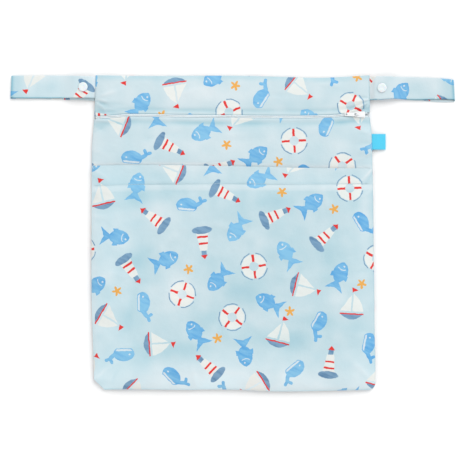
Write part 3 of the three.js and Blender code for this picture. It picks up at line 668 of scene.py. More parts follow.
def capsules(starts, ends, radius, sides=6):
    """Short rounded threads, each from its start to its end."""
    points, faces = [], []
    steps = ((-0.06, 0.35), (0.02, 0.8), (0.2, 1.0), (0.8, 1.0), (0.98, 0.8), (1.06, 0.35))
    for start, end in zip(starts, ends):
        along_it = end - start
        direction = along_it / np.linalg.norm(along_it)
        side = np.cross(direction, (0, 0, 1))
        side /= np.linalg.norm(side)
        up = np.cross(side, direction)
        base = len(points)
        for share, size in steps:
            for k in range(sides):
                turn = 2 * math.pi * k / sides
                offset = side * math.cos(turn) + up * math.sin(turn)
                points.append(start + along_it * share + offset * radius * size)
        for ring in range(len(steps) - 1):
            for k in range(sides):
                a, b = base + ring * sides + k, base + ring * sides + (k + 1) % sides
                faces.append((a, a + sides, b + sides, b))
        faces.append([base + k for k in range(sides)])
        faces.append([base + (len(steps) - 1) * sides + k for k in range(sides)][::-1])
    return np.array(points), faces


def tube(path, radius, sides=5):
    """A wire of even thickness along a path, with its ends closed."""
    path = np.asarray(path, float)
    tangent = np.gradient(path, axis=0)
    tangent /= np.linalg.norm(tangent, axis=1)[:, None]
    side = np.cross(tangent, np.roll(tangent, 3, axis=0) + (0.01, 0.02, 0.05))
    side /= np.linalg.norm(side, axis=1)[:, None]
    for k in range(1, len(side)):
        if np.dot(side[k], side[k - 1]) < 0:
            side[k] = -side[k]
    up = np.cross(tangent, side)
    turn = 2 * math.pi * np.arange(sides) / sides
    rings = path[:, None] + radius * (
        side[:, None] * np.cos(turn)[None, :, None] + up[:, None] * np.sin(turn)[None, :, None]
    )
    return rings.reshape(-1, 3), ring_faces(len(path), sides)


def plate(name, outlines, thickness, bevel):
    """The mesh of a flat plate with rounded edges. The first outline is its rim and the others are holes."""
    curve = bpy.data.curves.new(name, "CURVE")
    curve.dimensions = "2D"
    curve.fill_mode = "BOTH"
    curve.extrude = (thickness / 2 - bevel) * MM
    curve.bevel_depth = bevel * MM
    curve.bevel_resolution = 3
    curve.offset = -bevel * MM
    for outline in outlines:
        spline = curve.splines.new("POLY")
        spline.points.add(len(outline) - 1)
        for point, (x, y) in zip(spline.points, outline):
            point.co = (x * MM, y * MM, 0, 1)
        spline.use_cyclic_u = True
    carrier = bpy.data.objects.new(name, curve)
    bpy.context.scene.collection.objects.link(carrier)
    mesh = bpy.data.meshes.new_from_object(carrier.evaluated_get(bpy.context.evaluated_depsgraph_get()))
    bpy.data.objects.remove(carrier)
    bpy.data.curves.remove(curve)
    points = np.array([v.co for v in mesh.vertices]) / MM
    faces = [list(p.vertices) for p in mesh.polygons]
    bpy.data.meshes.remove(mesh)
    return points, faces


def join(parts):
    """Puts several point and face lists together."""
    points, faces, base = [], [], 0
    for part_points, part_faces in parts:
        points.append(part_points)
        faces.extend([[base + k for k in face] for face in part_faces])
        base += len(part_points)
    return np.concatenate(points), faces


# ---- Materials ------------------------------------------------------------------------------------

PRINT_CELL = 63.0  # millimetres of cloth to each motif of a kind
THREAD_PITCH = 0.00055  # metres


class Wire:
    """A number socket of a material, with the arithmetic that masks and distances need."""

    def __init__(self, paint, socket):
        self.paint = paint
        self.socket = socket

    def maths(self, operation, *others):
        inputs = {0: self, **{k + 1: other for k, other in enumerate(others)}}
        return self.paint.node("Math", {"operation": operation}, inputs)

    def flipped(self, operation, other):
        return self.paint.node("Math", {"operation": operation}, {0: other, 1: self})

    def __add__(self, other):
        return self.maths("ADD", other)

    def __radd__(self, other):
        return self.maths("ADD", other)

    def __sub__(self, other):
        return self.maths("SUBTRACT", other)

    def __rsub__(self, other):
        return self.flipped("SUBTRACT", other)

    def __mul__(self, other):
        return self.maths("MULTIPLY", other)

    def __rmul__(self, other):
        return self.maths("MULTIPLY", other)

    def __truediv__(self, other):
        return self.maths("DIVIDE", other)

    def __neg__(self):
        return self.maths("MULTIPLY", -1)

    def __abs__(self):
        return self.maths("ABSOLUTE")

    def below(self, other):
        """1 where this is less than other."""
        return self.maths("LESS_THAN", other)


class Paint:
    """A material under construction."""

    def __init__(self, name):
        self.material = bpy.data.materials.new(name)
        self.material.use_nodes = True
        self.tree = self.material.node_tree
        self.shader = self.tree.nodes["Principled BSDF"]

    def node(self, kind, settings=None, inputs=None, out=0):
        """Adds a node. Settings come first, then the values or links of its sockets."""
        made = self.tree.nodes.new("ShaderNode" + kind)
        for key, value in (settings or {}).items():
            if key == "stops":
                ramp = made.color_ramp
                while len(ramp.elements) < len(value):
                    ramp.elements.new(0.5)
                for element, (position, colour) in zip(ramp.elements, value):
                    element.position = position
                    element.color = colour
            else:
                setattr(made, key, value)
        for key, value in (inputs or {}).items():
            socket = made.inputs[key]
            if isinstance(value, Wire):
                self.tree.links.new(value.socket, socket)
            else:
                socket.default_value = value
        return Wire(self, made.outputs[out])

    def vector(self, operation, a, b=None, out=0):
        inputs = {0: a} if b is None else {0: a, 1: b}
        return self.node("VectorMath", {"operation": operation}, inputs, out)

    def scaled(self, vector, size):
        return self.node("VectorMath", {"operation": "SCALE"}, {0: vector, "Scale": size})

    def cloud(self, place, size, detail, flat=False, out=0, **values):
        """Soft noise between 0 and 1. Flat noise ignores the place's height."""
        settings = {"noise_dimensions": "2D"} if flat else None
        inputs = {"Vector": place, "Scale": size, "Detail": detail, **values}
        return self.node("TexNoise", settings, inputs, out)

    def bump(self, height, strength, distance):
        return self.node("Bump", None, {"Strength": strength, "Distance": distance, "Height": height})

    def tint(self, below, above, mask, blend="MIX"):
        """The colour above where mask is 1, and below where it is 0."""
        settings = {"data_type": "RGBA", "blend_type": blend}
        return self.node("Mix", settings, {0: mask, 6: below, 7: above}, 2)

    def split(self, vector):
        made = self.node("SeparateXYZ", None, {0: vector})
        return made, Wire(self, made.socket.node.outputs[1]), Wire(self, made.socket.node.outputs[2])

    def smaller(self, a, *others):
        for other in others:
            a = a.maths("MINIMUM", other)
        return a

    def larger(self, a, *others):
        for other in others:
            a = a.maths("MAXIMUM", other)
        return a

    def rod(self, p, start, end):
        """The distance to a straight line between two points."""
        run = (end[0] - start[0], end[1] - start[1], 0)
        long = run[0] ** 2 + run[1] ** 2
        away = self.vector("SUBTRACT", p, (*start, 0))
        share = self.vector("DOT_PRODUCT", away, (run[0] / long, run[1] / long, 0), 1)
        share = self.node("Math", {"operation": "ADD", "use_clamp": True}, {0: share, 1: 0.0})
        return self.vector("DISTANCE", away, self.scaled(run, share), 1)

    def inside(self, distance, softness=0.35):
        """A mask that is 1 where a distance in millimetres is below 0, with a soft edge."""
        settings = {"operation": "MULTIPLY_ADD", "use_clamp": True}
        return self.node("Math", settings, {0: distance, 1: -1 / softness, 2: 0.5})

    def finish(self, colour=None, roughness=None, normal=None, **constants):
        for name, value in (("Base Color", colour), ("Roughness", roughness), ("Normal", normal)):
            if isinstance(value, Wire):
                self.tree.links.new(value.socket, self.shader.inputs[name])
            elif value is not None:
                self.shader.inputs[name].default_value = value
        for name, value in constants.items():
            self.shader.inputs[name.replace("_", " ")].default_value = value
        return self.material


def solid(colour):
    return (*colour, 1.0)


def darker(colour, share):
    """A plain colour with that share of it taken away."""
    return solid(tuple((1 - share) * c for c in colour))


def boat(paint, p):
    """Masks of a small sailing boat: slate hull, pale sails, red pennant and gunwale."""
    x, y, _ = paint.split(p)
    hull = paint.larger(paint.vector("DISTANCE", p, (0, 3, 0), 1) - 17.0, y + 7.4)
    main = paint.larger(1.0 - x, -5.0 - y, paint.vector("DISTANCE", p, (-16, -9, 0), 1) - 29.5)
    jib = paint.larger(x + 0.9, -5.0 - y, x * -0.83 + y * 0.56 - 8.2)
    pennant = paint.larger(-0.6 - x, x * 0.42 + y - 21.4, 16.2 - y + x * 0.42)
    gunwale = paint.larger(abs(y + 8.0) - 0.75, abs(x) - 13.6)
    return {"pale": paint.smaller(main, jib), "slate": hull, "red": paint.smaller(pennant, gunwale)}


def tower(paint, p):
    """Masks of a lighthouse: pale tower, slate lantern and rock, red roof and bands."""
    x, y, _ = paint.split(p)
    wide = abs(x)
    body = paint.larger(wide + y * 0.14 - 5.2, abs(y + 1.5) - 10.5)
    bands = paint.larger(body, paint.smaller(abs(y + 6.4) - 1.15, abs(y - 0.8) - 1.05))
    lantern = paint.larger(wide - 2.8, abs(y - 11.6) - 2.7)
    roof = paint.larger(13.9 - y, wide * 0.78 + y * 0.62 - 11.6)
    scaled = paint.vector("MULTIPLY", paint.vector("ADD", p, (0, 14.2, 0)), (0.088, 0.24, 0))
    rock = (paint.vector("LENGTH", scaled, None, 1) - 1) * 4.2
    return {"pale": body, "slate": paint.smaller(lantern, rock), "red": paint.smaller(bands, roof)}


def ring(paint, p):
    """Masks of a life ring: pale ring with red wrappings and a slate rope."""
    x, y, _ = paint.split(p)
    out = paint.vector("LENGTH", p, None, 1)
    body = abs(out - 9.4) - 4.2
    wraps = paint.larger(body, paint.smaller(abs(x + y), abs(x - y)) - 1.8)
    rope = paint.larger(abs(out - 14.9) - 0.55, 4.6 - paint.smaller(abs(x + y), abs(x - y)))
    return {"pale": body, "slate": rope, "red": wraps}


def fish(paint, p):
    """The distance to a little fish, and to its eye and gill."""
    x, y, _ = paint.split(p)
    back = paint.vector("DISTANCE", p, (-2.5, -5.2, 0), 1)
    belly = paint.vector("DISTANCE", p, (-2.5, 5.2, 0), 1)
    body = paint.larger(back, belly) - 14.2
    tail = paint.larger(abs(y) - x * 0.8 + 5.0, x - 16.8 + abs(y) * -0.35)
    fins = paint.larger(abs(x - abs(y) * 0.35 + 1.0) - 3.2, abs(y) - 10.6)
    eye = paint.vector("DISTANCE", p, (-10.6, 1.6, 0), 1) - 1.15
    arc = abs(paint.vector("DISTANCE", p, (-14.5, 0, 0), 1) - 8.6) - 0.5
    gill = paint.larger(arc, abs(y) - 4.8, -14.5 - x)
    return paint.smaller(body, tail, fins), paint.smaller(eye, gill)


def whale(paint, p):
    """The distance to a little whale, and to its eye and belly."""
    x, y, _ = paint.split(p)
    scaled = paint.vector("MULTIPLY", paint.vector("ADD", p, (3.5, 0.5, 0)), (0.078, 0.108, 0))
    body = paint.larger((paint.vector("LENGTH", scaled, None, 1) - 1) * 8.5, -7.0 - y)
    stem = paint.larger(paint.rod(p, (4, -2.6), (13.4, 4.6)) - 3.0 + x * 0.05, -7.0 - y)
    flukes = paint.smaller(paint.rod(p, (14, 5.5), (11.6, 10.2)), paint.rod(p, (14, 5.5), (18.6, 7.6))) - 1.9
    eye = paint.vector("DISTANCE", p, (-10.4, 0.2, 0), 1) - 1.05
    belly = paint.larger(y + 3.9, body + 0.9)
    return paint.smaller(body, stem, flukes), paint.smaller(eye, belly)


def star(paint, p):
    """The distance to a five-armed starfish."""
    x, y, _ = paint.split(p)
    arms = (y.maths("ARCTAN2", x) * 5).maths("COSINE")
    return paint.vector("LENGTH", p, None, 1) - 4.2 - arms * 1.9


def scatter(paint, place, offset, seed, jitter, scale=1.0):
    """The place within a cell of the print, moved, turned and scaled, and the cell's random numbers."""
    cell = PRINT_CELL
    moved = paint.vector("DIVIDE", paint.vector("ADD", place, (*offset, 0)), (cell, cell, 1))
    corner = paint.vector("FLOOR", moved)
    chance = paint.node("TexWhiteNoise", {"noise_dimensions": "4D"}, {0: corner, 1: seed}, 1)
    inner = paint.vector("SUBTRACT", paint.vector("SUBTRACT", moved, corner), (0.5, 0.5, 0))
    local = paint.vector("MULTIPLY", inner, (cell, cell, 0))
    nudge = paint.vector("MULTIPLY", paint.vector("SUBTRACT", chance, (0.5, 0.5, 0.5)), (jitter, jitter, 0))
    first, second, third = paint.split(chance)
    centred = paint.vector("MULTIPLY", paint.vector("SUBTRACT", local, nudge), (scale, scale, 0))
    spun = paint.node("VectorRotate", {"rotation_type": "Z_AXIS"}, {0: centred, 3: third * 6.2832})
    return spun, first, second


def printed_cloth(look):
    """Laminated cloth with a tossed seaside print. Its map is the flat cloth in metres."""
    paint = Paint("Printed cloth")
    metres = paint.node("UVMap", {"uv_map": "cloth"})
    place = paint.scaled(metres, 1000 / look.print_scale)
    wobble = paint.vector("SUBTRACT", paint.cloud(place, 0.22, 2.0, True, out=1), (0.5, 0.5, 0.5))
    drawn = paint.vector("ADD", place, paint.vector("MULTIPLY", wobble, (1.5, 1.5, 0)))
    drawn = paint.node("VectorRotate", {"rotation_type": "Z_AXIS"}, {0: drawn, 3: 0.42})

    # The tone attribute is painted shade, and painted light where it is below 0; the cool attribute is a painted
    # bluish tint of the shaded cloth.
    tone = paint.node("Attribute", {"attribute_name": "tone"}, None, 2)
    wash = paint.cloud(place, 0.05, 3.0, True)
    ground = paint.tint(solid(look.ground), solid(look.ground_deep), tone + (wash - 0.5) * 0.35)
    cool = paint.node("Attribute", {"attribute_name": "cool"}, None, 2)
    ground = paint.tint(ground, solid((1.0, 1.125, 1.16)), cool * 0.33, "MULTIPLY")
    # Painted light: the ground turns lighter and bluer where the tone is below 0.
    colour = paint.tint(ground, solid((1.0, 1.20, 1.25)), -tone, "MULTIPLY")

    brush = paint.cloud(paint.vector("MULTIPLY", drawn, (0.05, 0.22, 1)), 1.0, 3.0, True)
    spun, first, second = scatter(paint, drawn, (0, 0), 3.7, 6.0, 1.06)
    is_fish = second.below(0.5)
    for mask, (body, marks) in ((is_fish, fish(paint, spun)), (1 - is_fish, whale(paint, spun))):
        pooled = 1 - paint.inside(body + 1.3, 2.2)
        depth = (brush - 0.5) * 1.7 + first * 0.6 + pooled * 0.2
        deep = paint.tint(solid(look.blue_light), solid(look.blue_deep), depth)
        colour = paint.tint(colour, deep, paint.inside(body) * mask)
        colour = paint.tint(colour, solid(look.pale), paint.inside(marks) * mask * 0.75)

    half = PRINT_CELL / 2
    spun, first, _ = scatter(paint, drawn, (half, half), 11.3, 7.0, 0.97)
    kinds = [boat(paint, spun), tower(paint, spun), ring(paint, spun)]
    is_boat, is_ring = first.below(0.45), 1 - first.below(0.76)
    fills = {
        "pale": paint.tint(solid(look.pale), darker(look.pale, 0.07), brush),
        "slate": paint.tint(solid(look.slate_light), solid(look.slate_deep), (brush - 0.4) * 2.0),
        "red": solid(look.red),
    }
    for mask, kind in zip((is_boat, 1 - is_boat - is_ring, is_ring), kinds):
        for part, fill in fills.items():
            colour = paint.tint(colour, fill, paint.inside(kind[part]) * mask)

    spun, first, _ = scatter(paint, drawn, (half, 0), 5.9, 9.0)
    colour = paint.tint(colour, solid(look.orange), paint.inside(star(paint, spun)) * first.below(0.42))

    warp, weft, _ = paint.split(paint.scaled(metres, 2 * math.pi / THREAD_PITCH))
    thread = warp.maths("SINE") * weft.maths("SINE")
    crinkle = paint.cloud(place, 0.11, 4.0, True, Roughness=0.6)
    normal = paint.bump(crinkle * 0.0006 + thread * 0.00003, 0.5, 1.0)
    # Painted shade: the tone darkens the ground and the print alike, most where it is strong.
    shades = {(0.80, 0.90, 0.93): tone * 0.5, (0.60, 0.80, 0.88): tone - 1.0, (0.30, 0.36, 0.36): tone - 2.0}
    for shade, amount in shades.items():
        colour = paint.tint(colour, solid(shade), amount, "MULTIPLY")
    gloss = {"Sheen_Weight": 0.12, "Sheen_Roughness": 0.4, "Specular_IOR_Level": 0.35}
    return paint.finish(colour, crinkle * 0.16 + 0.48, normal, **gloss)


def lining_cloth(look):
    """The laminated side of the cloth: smooth, pale and a little glossy, with a faint knit behind it."""
    paint = Paint("Laminate")
    metres = paint.node("UVMap", {"uv_map": "cloth"})
    cloud = paint.cloud(metres, 30.0, 3.0, True)
    colour = paint.tint(solid(look.lining), darker(look.lining, 0.1), cloud)
    grain = paint.cloud(metres, 900.0, 2.0, True)
    return paint.finish(colour, cloud * 0.15 + 0.3, paint.bump(grain, 0.3, 0.0004))


def woven(name, colour, shade, pitch, gloss=0.6):
    """A close woven tape or ribbon, ribbed across its width. Its map is in metres."""
    paint = Paint(name)
    metres = paint.node("UVMap", {"uv_map": "cloth"})
    u, v, _ = paint.split(metres)
    ribs = (u * (2 * math.pi / (pitch * MM))).maths("SINE")
    picks = (v * (2 * math.pi / (pitch * 0.7 * MM))).maths("SINE")
    weave = ribs * picks
    fuzz = paint.cloud(metres, 1400.0, 2.0, True)
    # The shade colour is painted shade between the threads, mixed in by the weave and by random fuzz.
    base = paint.tint(solid(colour), solid(shade), weave * 0.22 + fuzz * 0.5)
    normal = paint.bump(weave + fuzz, 0.6, 0.00012)
    return paint.finish(base, fuzz * 0.2 + (gloss - 0.1), normal, Sheen_Weight=0.15)


def moulded(name, colour, gloss, scuff=0.08, coat=0.0, **constants):
    """Moulded or enamelled trim, with a faint cloudiness and fine handling marks."""
    paint = Paint(name)
    place = paint.node("TexCoord", None, None, 3)
    marks = paint.cloud(paint.vector("MULTIPLY", place, (1, 7, 1)), 900.0, 3.0)
    base = paint.tint(solid(colour), darker(colour, scuff), paint.cloud(place, 260.0, 3.0))
    normal = paint.bump(marks, 0.25, 0.00006)
    return paint.finish(base, marks * 0.14 + (gloss - 0.07), normal, Coat_Weight=coat, **constants)


def coil_nylon(trim):
    """The zip coil's nylon, faintly clouded."""
    paint = Paint("Coil nylon")
    cloud = paint.cloud(paint.node("TexCoord", None, None, 3), 500.0, 2.0)
    base = paint.tint(solid(trim.coil), darker(trim.coil, 0.07), cloud)
    return paint.finish(base, cloud * 0.1 + 0.33, None, Coat_Weight=0.1)


def thread_material(look):
    """Twisted sewing thread."""
    paint = Paint("Sewing thread")
    place = paint.node("TexCoord", None, None, 3)
    twist = paint.node("TexWave", None, {"Vector": place, "Scale": 900.0, "Distortion": 1.0})
    base = paint.tint(solid(look.thread), darker(look.thread, 0.14), twist)
    return paint.finish(base, twist * 0.1 + 0.5, paint.bump(twist, 0.4, 0.0001))


def remembered(name, make, *values, **constants):
    """The material of that name, made once."""
    return bpy.data.materials.get(name) or make(*values, **constants)


# ---- Settings -------------------------------------------------------------------------------------


def colour_setting(name, about, default):
    limits = {"size": 3, "min": 0, "max": 1}
    return FloatVectorProperty(name=name, description=about, subtype="COLOR", default=default, **limits)


def length_setting(name, about, default):
    return FloatProperty(name=name, description=about, unit="LENGTH", min=0, precision=5, default=default)


def number_setting(name, about, default, least=0.0):
    return FloatProperty(name=name, description=about, default=default, min=least)


class WetBagCloth(bpy.types.PropertyGroup):
    """The cloth of the panels and straps."""

    thickness: length_setting("Thickness", "Thickness of one layer of cloth", 0.0008)
    grid: length_setting("Grid", "Spacing of the points across a panel", 0.002)
    hem_stitch: length_setting("Hem stitch", "Length of one stitch along the pocket's hem", 0.0028)
    print_scale: number_setting("Print scale", "Size of the print's motifs", 1.0, 0.2)
    ground: colour_setting("Ground", "Background of the print in the light", (0.578, 0.634, 0.658))
    ground_deep: colour_setting("Ground, deep", "Background of the print in the shade", (0.402, 0.538, 0.584))
    blue_light: colour_setting("Blue, light", "Lighter tone of the blue motifs", (0.195, 0.440, 0.640))
    blue_deep: colour_setting("Blue, deep", "Deeper tone of the blue motifs", (0.077, 0.300, 0.575))
    slate_light: colour_setting("Slate, light", "Lighter tone of the slate parts", (0.165, 0.290, 0.425))
    slate_deep: colour_setting("Slate, deep", "Deeper tone of the slate parts", (0.055, 0.150, 0.280))
    pale: colour_setting("Pale", "Pale bodies of the motifs", (0.684, 0.693, 0.667))
    red: colour_setting("Red", "Small red parts", (0.633, 0.024, 0.019))
    orange: colour_setting("Orange", "Starfish", (0.684, 0.333, 0.068))
    lining: colour_setting("Lining", "Laminated side of the cloth", (0.667, 0.727, 0.752))
    thread: colour_setting("Thread", "Sewing thread", (0.479, 0.624, 0.675))


class WetBagTrim(bpy.types.PropertyGroup):
    """The zip, poppers and label."""

    coil_pitch: length_setting("Coil pitch", "Length of one turn of the zip's coil", 0.00125)
    wire_radius: length_setting("Wire radius", "Radius of the coil's nylon", 0.00035)
    popper_radius: length_setting("Popper radius", "Radius of a popper's cap", 0.0054)
    tape: colour_setting("Tape", "Zip tape", (0.680, 0.870, 0.980))
    coil: colour_setting("Coil", "Zip coil", (0.890, 0.970, 1.000))
    slider: colour_setting("Slider", "Enamel of the slider and pull", (0.752, 0.765, 0.774))
    popper: colour_setting("Popper", "Plastic of the poppers", (0.660, 0.715, 0.735))
    label: colour_setting("Label", "Ribbon of the label", (0.060, 0.560, 0.790))
    label_shade: colour_setting("Label, shade", "Shade between the ribbon's threads", (0.044, 0.500, 0.760))


class WetBagStage(bpy.types.PropertyGroup):
    """The floor, lights and camera."""

    view_width: length_setting("View width", "Width of the view on the bag", 0.5336)
    lens: number_setting("Lens", "Focal length in millimetres", 110.0)
    key: number_setting("Key light", "Strength of the light from the upper right", 1.95)
    key_height: number_setting("Key height", "Angle of the key light above the floor in degrees", 38.0)
    key_side: number_setting("Key side", "Direction the key light comes from, in degrees", 58.0)
    low_fill: number_setting("Low fill", "Strength of the light from the lower left", 0.55)
    fill: number_setting("Fill light", "Strength of the white surroundings", 0.86)
    floor: colour_setting("Floor", "Colour of the floor", (0.835, 0.833, 0.833))


class WetBagSettings(bpy.types.PropertyGroup):
    """All that a user would change."""

    cloth: PointerProperty(type=WetBagCloth)
    trim: PointerProperty(type=WetBagTrim)
    stage: PointerProperty(type=WetBagStage)


# ---- Pieces ---------------------------------------------------------------------------------------


class WETBAG_OT_stage(bpy.types.Operator):
    """Make the floor, the lights and the camera straight above the bag"""

    bl_idname = "wetbag.stage"
    bl_label = "Stage"

    def execute(self, context):
        stage = context.scene.wet_bag.stage
        centre = Vector((-2.9 * MM, 2.55 * MM, 0.006))
        camera = bpy.data.objects.new("Camera", bpy.data.cameras.new("Camera"))
        camera.data.lens = stage.lens
        camera.data.sensor_width = 36.0
        camera.data.clip_start, camera.data.clip_end = 0.05, 20.0
        camera.location = centre + Vector((0, 0, stage.lens / 36.0 * stage.view_width))
        context.scene.collection.objects.link(camera)
        context.scene.camera = camera

        floor = bpy.data.meshes.new("Floor")
        floor.from_pydata([(-4, -4, 0), (4, -4, 0), (4, 4, 0), (-4, 4, 0)], [], [(0, 1, 2, 3)])
        paint = Paint("Floor")
        place = paint.node("TexCoord", None, None, 3)
        base = paint.tint(solid(stage.floor), darker(stage.floor, 0.015), paint.cloud(place, 6.0, 2.0))
        floor.materials.append(paint.finish(base, 0.9, None, Specular_IOR_Level=0.1))
        ground = bpy.data.objects.new("Floor", floor)
        context.scene.collection.objects.link(ground)

        self.lamp(context, "Key", stage.key, stage.key_side, stage.key_height, 46)
        self.lamp(context, "Low fill", stage.low_fill, stage.key_side + 174, 30, 60)
        world = bpy.data.worlds.new("Surroundings")
        world.use_nodes = True
        world.node_tree.nodes["Background"].inputs[0].default_value = (1, 1, 1, 1)
        world.node_tree.nodes["Background"].inputs[1].default_value = stage.fill
        context.scene.world = world
        context.scene.view_settings.view_transform = "Standard"
        return {"FINISHED"}

    @staticmethod
    def lamp(context, name, strength, side, height, size):
        """A broad distant light. Its side, height and apparent size are in degrees."""
        side, height = math.radians(side), math.radians(height)
        level = math.cos(height)
        towards = Vector((math.cos(side) * level, math.sin(side) * level, math.sin(height)))
        sun = bpy.data.lights.new(name, "SUN")
        sun.energy, sun.angle = strength, math.radians(size)
        lamp = bpy.data.objects.new(name, sun)
        lamp.location = towards
        lamp.rotation_euler = towards.to_track_quat("Z", "Y").to_euler()
        context.scene.collection.objects.link(lamp)


def panel_grid(rows_at, columns):
    """The grid of a panel: rows_at gives its rows at a place across the bag."""
    rows = np.stack([rows_at(u) for u in columns], axis=1)
    return np.broadcast_to(columns, rows.shape), rows


def across_stations(step):
    return stations(-HALF, HALF, step) / HALF


def cloth_panel(name, node, level, columns, rows_at, thickness, materials, offset, thicker=0, hem=None):
    """One panel as a closed shell: printed on its outer side and laminated on its inner one."""
    u, y = panel_grid(rows_at, columns)
    at = levels(u, y)
    across = np.minimum(at["x"] - left_edge(y), right_edge(y) - at["x"])
    edge = np.minimum(across, np.minimum(y - y[0], y[-1] - y))
    body = thickness + (thicker * smooth(y - hem(u)) if hem else 0)
    thick = rounding(np.maximum(edge, 0), thickness) * body / thickness
    points, faces_top, faces_under, source = shell(at["x"], y, at[level], thick)
    flat = points[:, :2] + offset
    slots = [0, 1]
    if level == "back":
        flat[:, 0] = -flat[:, 0]
        slots = [1, 0]
    obj = new_piece(
        name,
        points,
        np.concatenate([faces_top, faces_under]),
        "cloth",
        materials,
        uv=flat,
        face_slots=np.repeat(slots, [len(faces_top), len(faces_under)]),
        tone=np.clip(at["painted_shades"][level].ravel()[source], -1, 2),
        cool=at["painted_tints"][level].ravel()[source],
    )
    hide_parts(node)
    return obj


class WETBAG_OT_panels(bpy.types.Operator):
    """Make the back, the two front panels, the pocket and its hem stitching"""

    bl_idname = "wetbag.panels"
    bl_label = "Panels"

    def execute(self, context):
        look = context.scene.wet_bag.cloth
        t, step = look.thickness / MM, look.grid / MM
        outside = remembered("Printed cloth", printed_cloth, look)
        inside = remembered("Laminate", lining_cloth, look)
        materials = [outside, inside]
        fine, coarse = across_stations(step), across_stations(step * 2)

        def rim_kept(share, length):
            """Shares of 100 that keep the close rows by an edge at their own distances."""
            near = np.minimum(share, 100 - share)
            inner = RIM / length + (near - RIM) / (50 - RIM) * (0.5 - RIM / length)
            kept = np.where(near < RIM, near / length, inner)
            return np.where(share > 50, 1 - kept, kept)

        def rows_between(low, high, spacing):
            share = stations(0, 100, 100 * step * spacing)
            return lambda u: low(u) + (high(u) - low(u)) * rim_kept(share, high(0.0) - low(0.0))

        def parting(u):
            return ZIP_PARTING * np.clip((u - SLIDER_U) * HALF / PARTING_RUN, 0, 1)

        def below_zip(u):
            return zip_line(u) - 1.7 - parting(u)

        def above_zip(u):
            return zip_line(u) + 1.65 + parting(u)

        def panel(word, node, level, columns, low, high, spacing, offset, **hem):
            rows = rows_between(low, high, spacing)
            return cloth_panel(f"{word}_cloth", node, level, columns, rows, t, materials, offset, **hem)

        back = panel("back", "back_panel", "back", coarse, bottom_edge, top_edge, 2 / HEIGHT, (13, 29))
        upper = panel("upper_front", "upper_front_panel", "front", fine, above_zip, top_edge, 0.8 / 45, (0, 0))
        whole = (fine, bottom_edge, below_zip, 1.2 / 315)
        lower = panel("lower_front", "lower_front_panel", "front", *whole, (41, -17))
        pocket = panel(
            "pocket", "pocket_panel", "pocket", fine, bottom_edge, mouth_line, 0.9 / 260, (-23, 38),
            thicker=HEM_TURN, hem=hem_line,
        )
        self.stitch(look, t)
        return {"FINISHED"}

    def stitch(self, look, t):
        """The line of thread that holds the pocket's hem."""
        length, gap = look.hem_stitch / MM, 0.55
        count = int((WIDTH - 6) / (length + gap))
        start = -1 + 2 * 3 / WIDTH + np.arange(count) * 2 * (length + gap) / WIDTH

        def at(u):
            y = hem_line(u)
            level = levels(u, y)
            return np.stack([level["x"], y, level["pocket"] + t / 2 + HEM_TURN / 2 + 0.02], -1)

        starts, ends = at(start), at(start + 2 * length / WIDTH)
        points, faces = capsules(starts, ends, 0.2)
        thread = remembered("Sewing thread", thread_material, look)
        new_piece("hem_stitching", points, faces, "cloth", [thread])


class WETBAG_OT_zip(bpy.types.Operator):
    """Make the zip's tapes and its two coils"""

    bl_idname = "wetbag.zip"
    bl_label = "Zip"

    def execute(self, context):
        trim = context.scene.wet_bag.trim
        shade = tuple(0.8 * c for c in trim.tape)
        tape = remembered("Zip tape", woven, "Zip tape", tuple(trim.tape), shade, 0.9)
        nylon = remembered("Coil nylon", coil_nylon, trim)
        reach = 1 - 2 / HALF
        for word, side in (("upper", 1), ("lower", -1)):
            self.tape(word, side, reach, tape)
            self.coil(word, side, reach, trim, nylon)
        return {"FINISHED"}

    @staticmethod
    def parted(u):
        return ZIP_PARTING * smooth((u - SLIDER_U) * HALF / PARTING_RUN)

    def tape(self, word, side, reach, material):
        u = np.linspace(-reach, reach, 160)
        lanes = np.array([0.12, 0.3, 0.8, 1.6, 2.6, 4, 6, 8, 9.6, 9.9, 10])
        lanes = lanes if side > 0 else lanes[::-1]
        uu = np.broadcast_to(u, (len(lanes), len(u)))
        y = zip_line(uu) + side * (self.parted(uu) + lanes[:, None])
        x = across_at(uu, y)
        mid = zip_level(uu) - TAPE_DROP - TAPE / 2 - 0.012 * lanes[:, None] ** 1.5
        rim = np.minimum(np.minimum(lanes - 0.12, 10 - lanes)[:, None], (uu + reach) * HALF)
        rim = np.minimum(rim, (reach - uu) * HALF)
        points, top, under, _ = shell(x, y, mid, rounding(np.maximum(rim, 0), 0.6))
        faces = np.concatenate([top, under])
        obj = new_piece(f"zip_tape_{word}_weave", points, faces, "zip_tape", [material], uv=points[:, :2])
        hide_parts(f"zip_tape_{word}")

    def coil(self, word, side, reach, trim, material):
        pitch, radius = trim.coil_pitch / MM, trim.wire_radius / MM
        turns = int(2 * reach * HALF / pitch)
        steps = 12
        phase = np.arange(turns * steps + 1) / steps
        u = -reach + (phase + (0 if side > 0 else 0.5)) * pitch / HALF
        u = np.minimum(u, reach)
        turn = 2 * math.pi * phase
        centre = zip_line(u)
        out = 0.78 - 0.47 * np.cos(turn)
        y = centre + side * (out + self.parted(u))
        z = zip_level(u) + COIL_HEIGHT / 2 + 0.18 * np.sin(turn)
        path = np.stack([across_at(u, centre), y, z], -1)
        points, faces = tube(path, radius)
        obj = new_piece(f"zip_coil_{word}_wire", points, faces, "zip_coil", [material])
        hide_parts(f"zip_coil_{word}")


def slider_place():
    """The slider's middle and its slope, as in the solids."""
    y = zip_line(SLIDER_U)
    x = across_at(SLIDER_U, y)
    rear, front = (float(zip_level(u_at(x + share * SLIDER_LENGTH / 2, y))) for share in (-1, 1))
    return float(x), float(y), (rear + front) / 2, math.atan2(rear - front, SLIDER_LENGTH)


def tilt(points, slope, place):
    """Turns points about y and moves them to their place."""
    c, s = math.cos(slope), math.sin(slope)
    x, y, z = points.T
    return np.stack([x * c + z * s, y, -x * s + z * c], -1) + np.asarray(place)


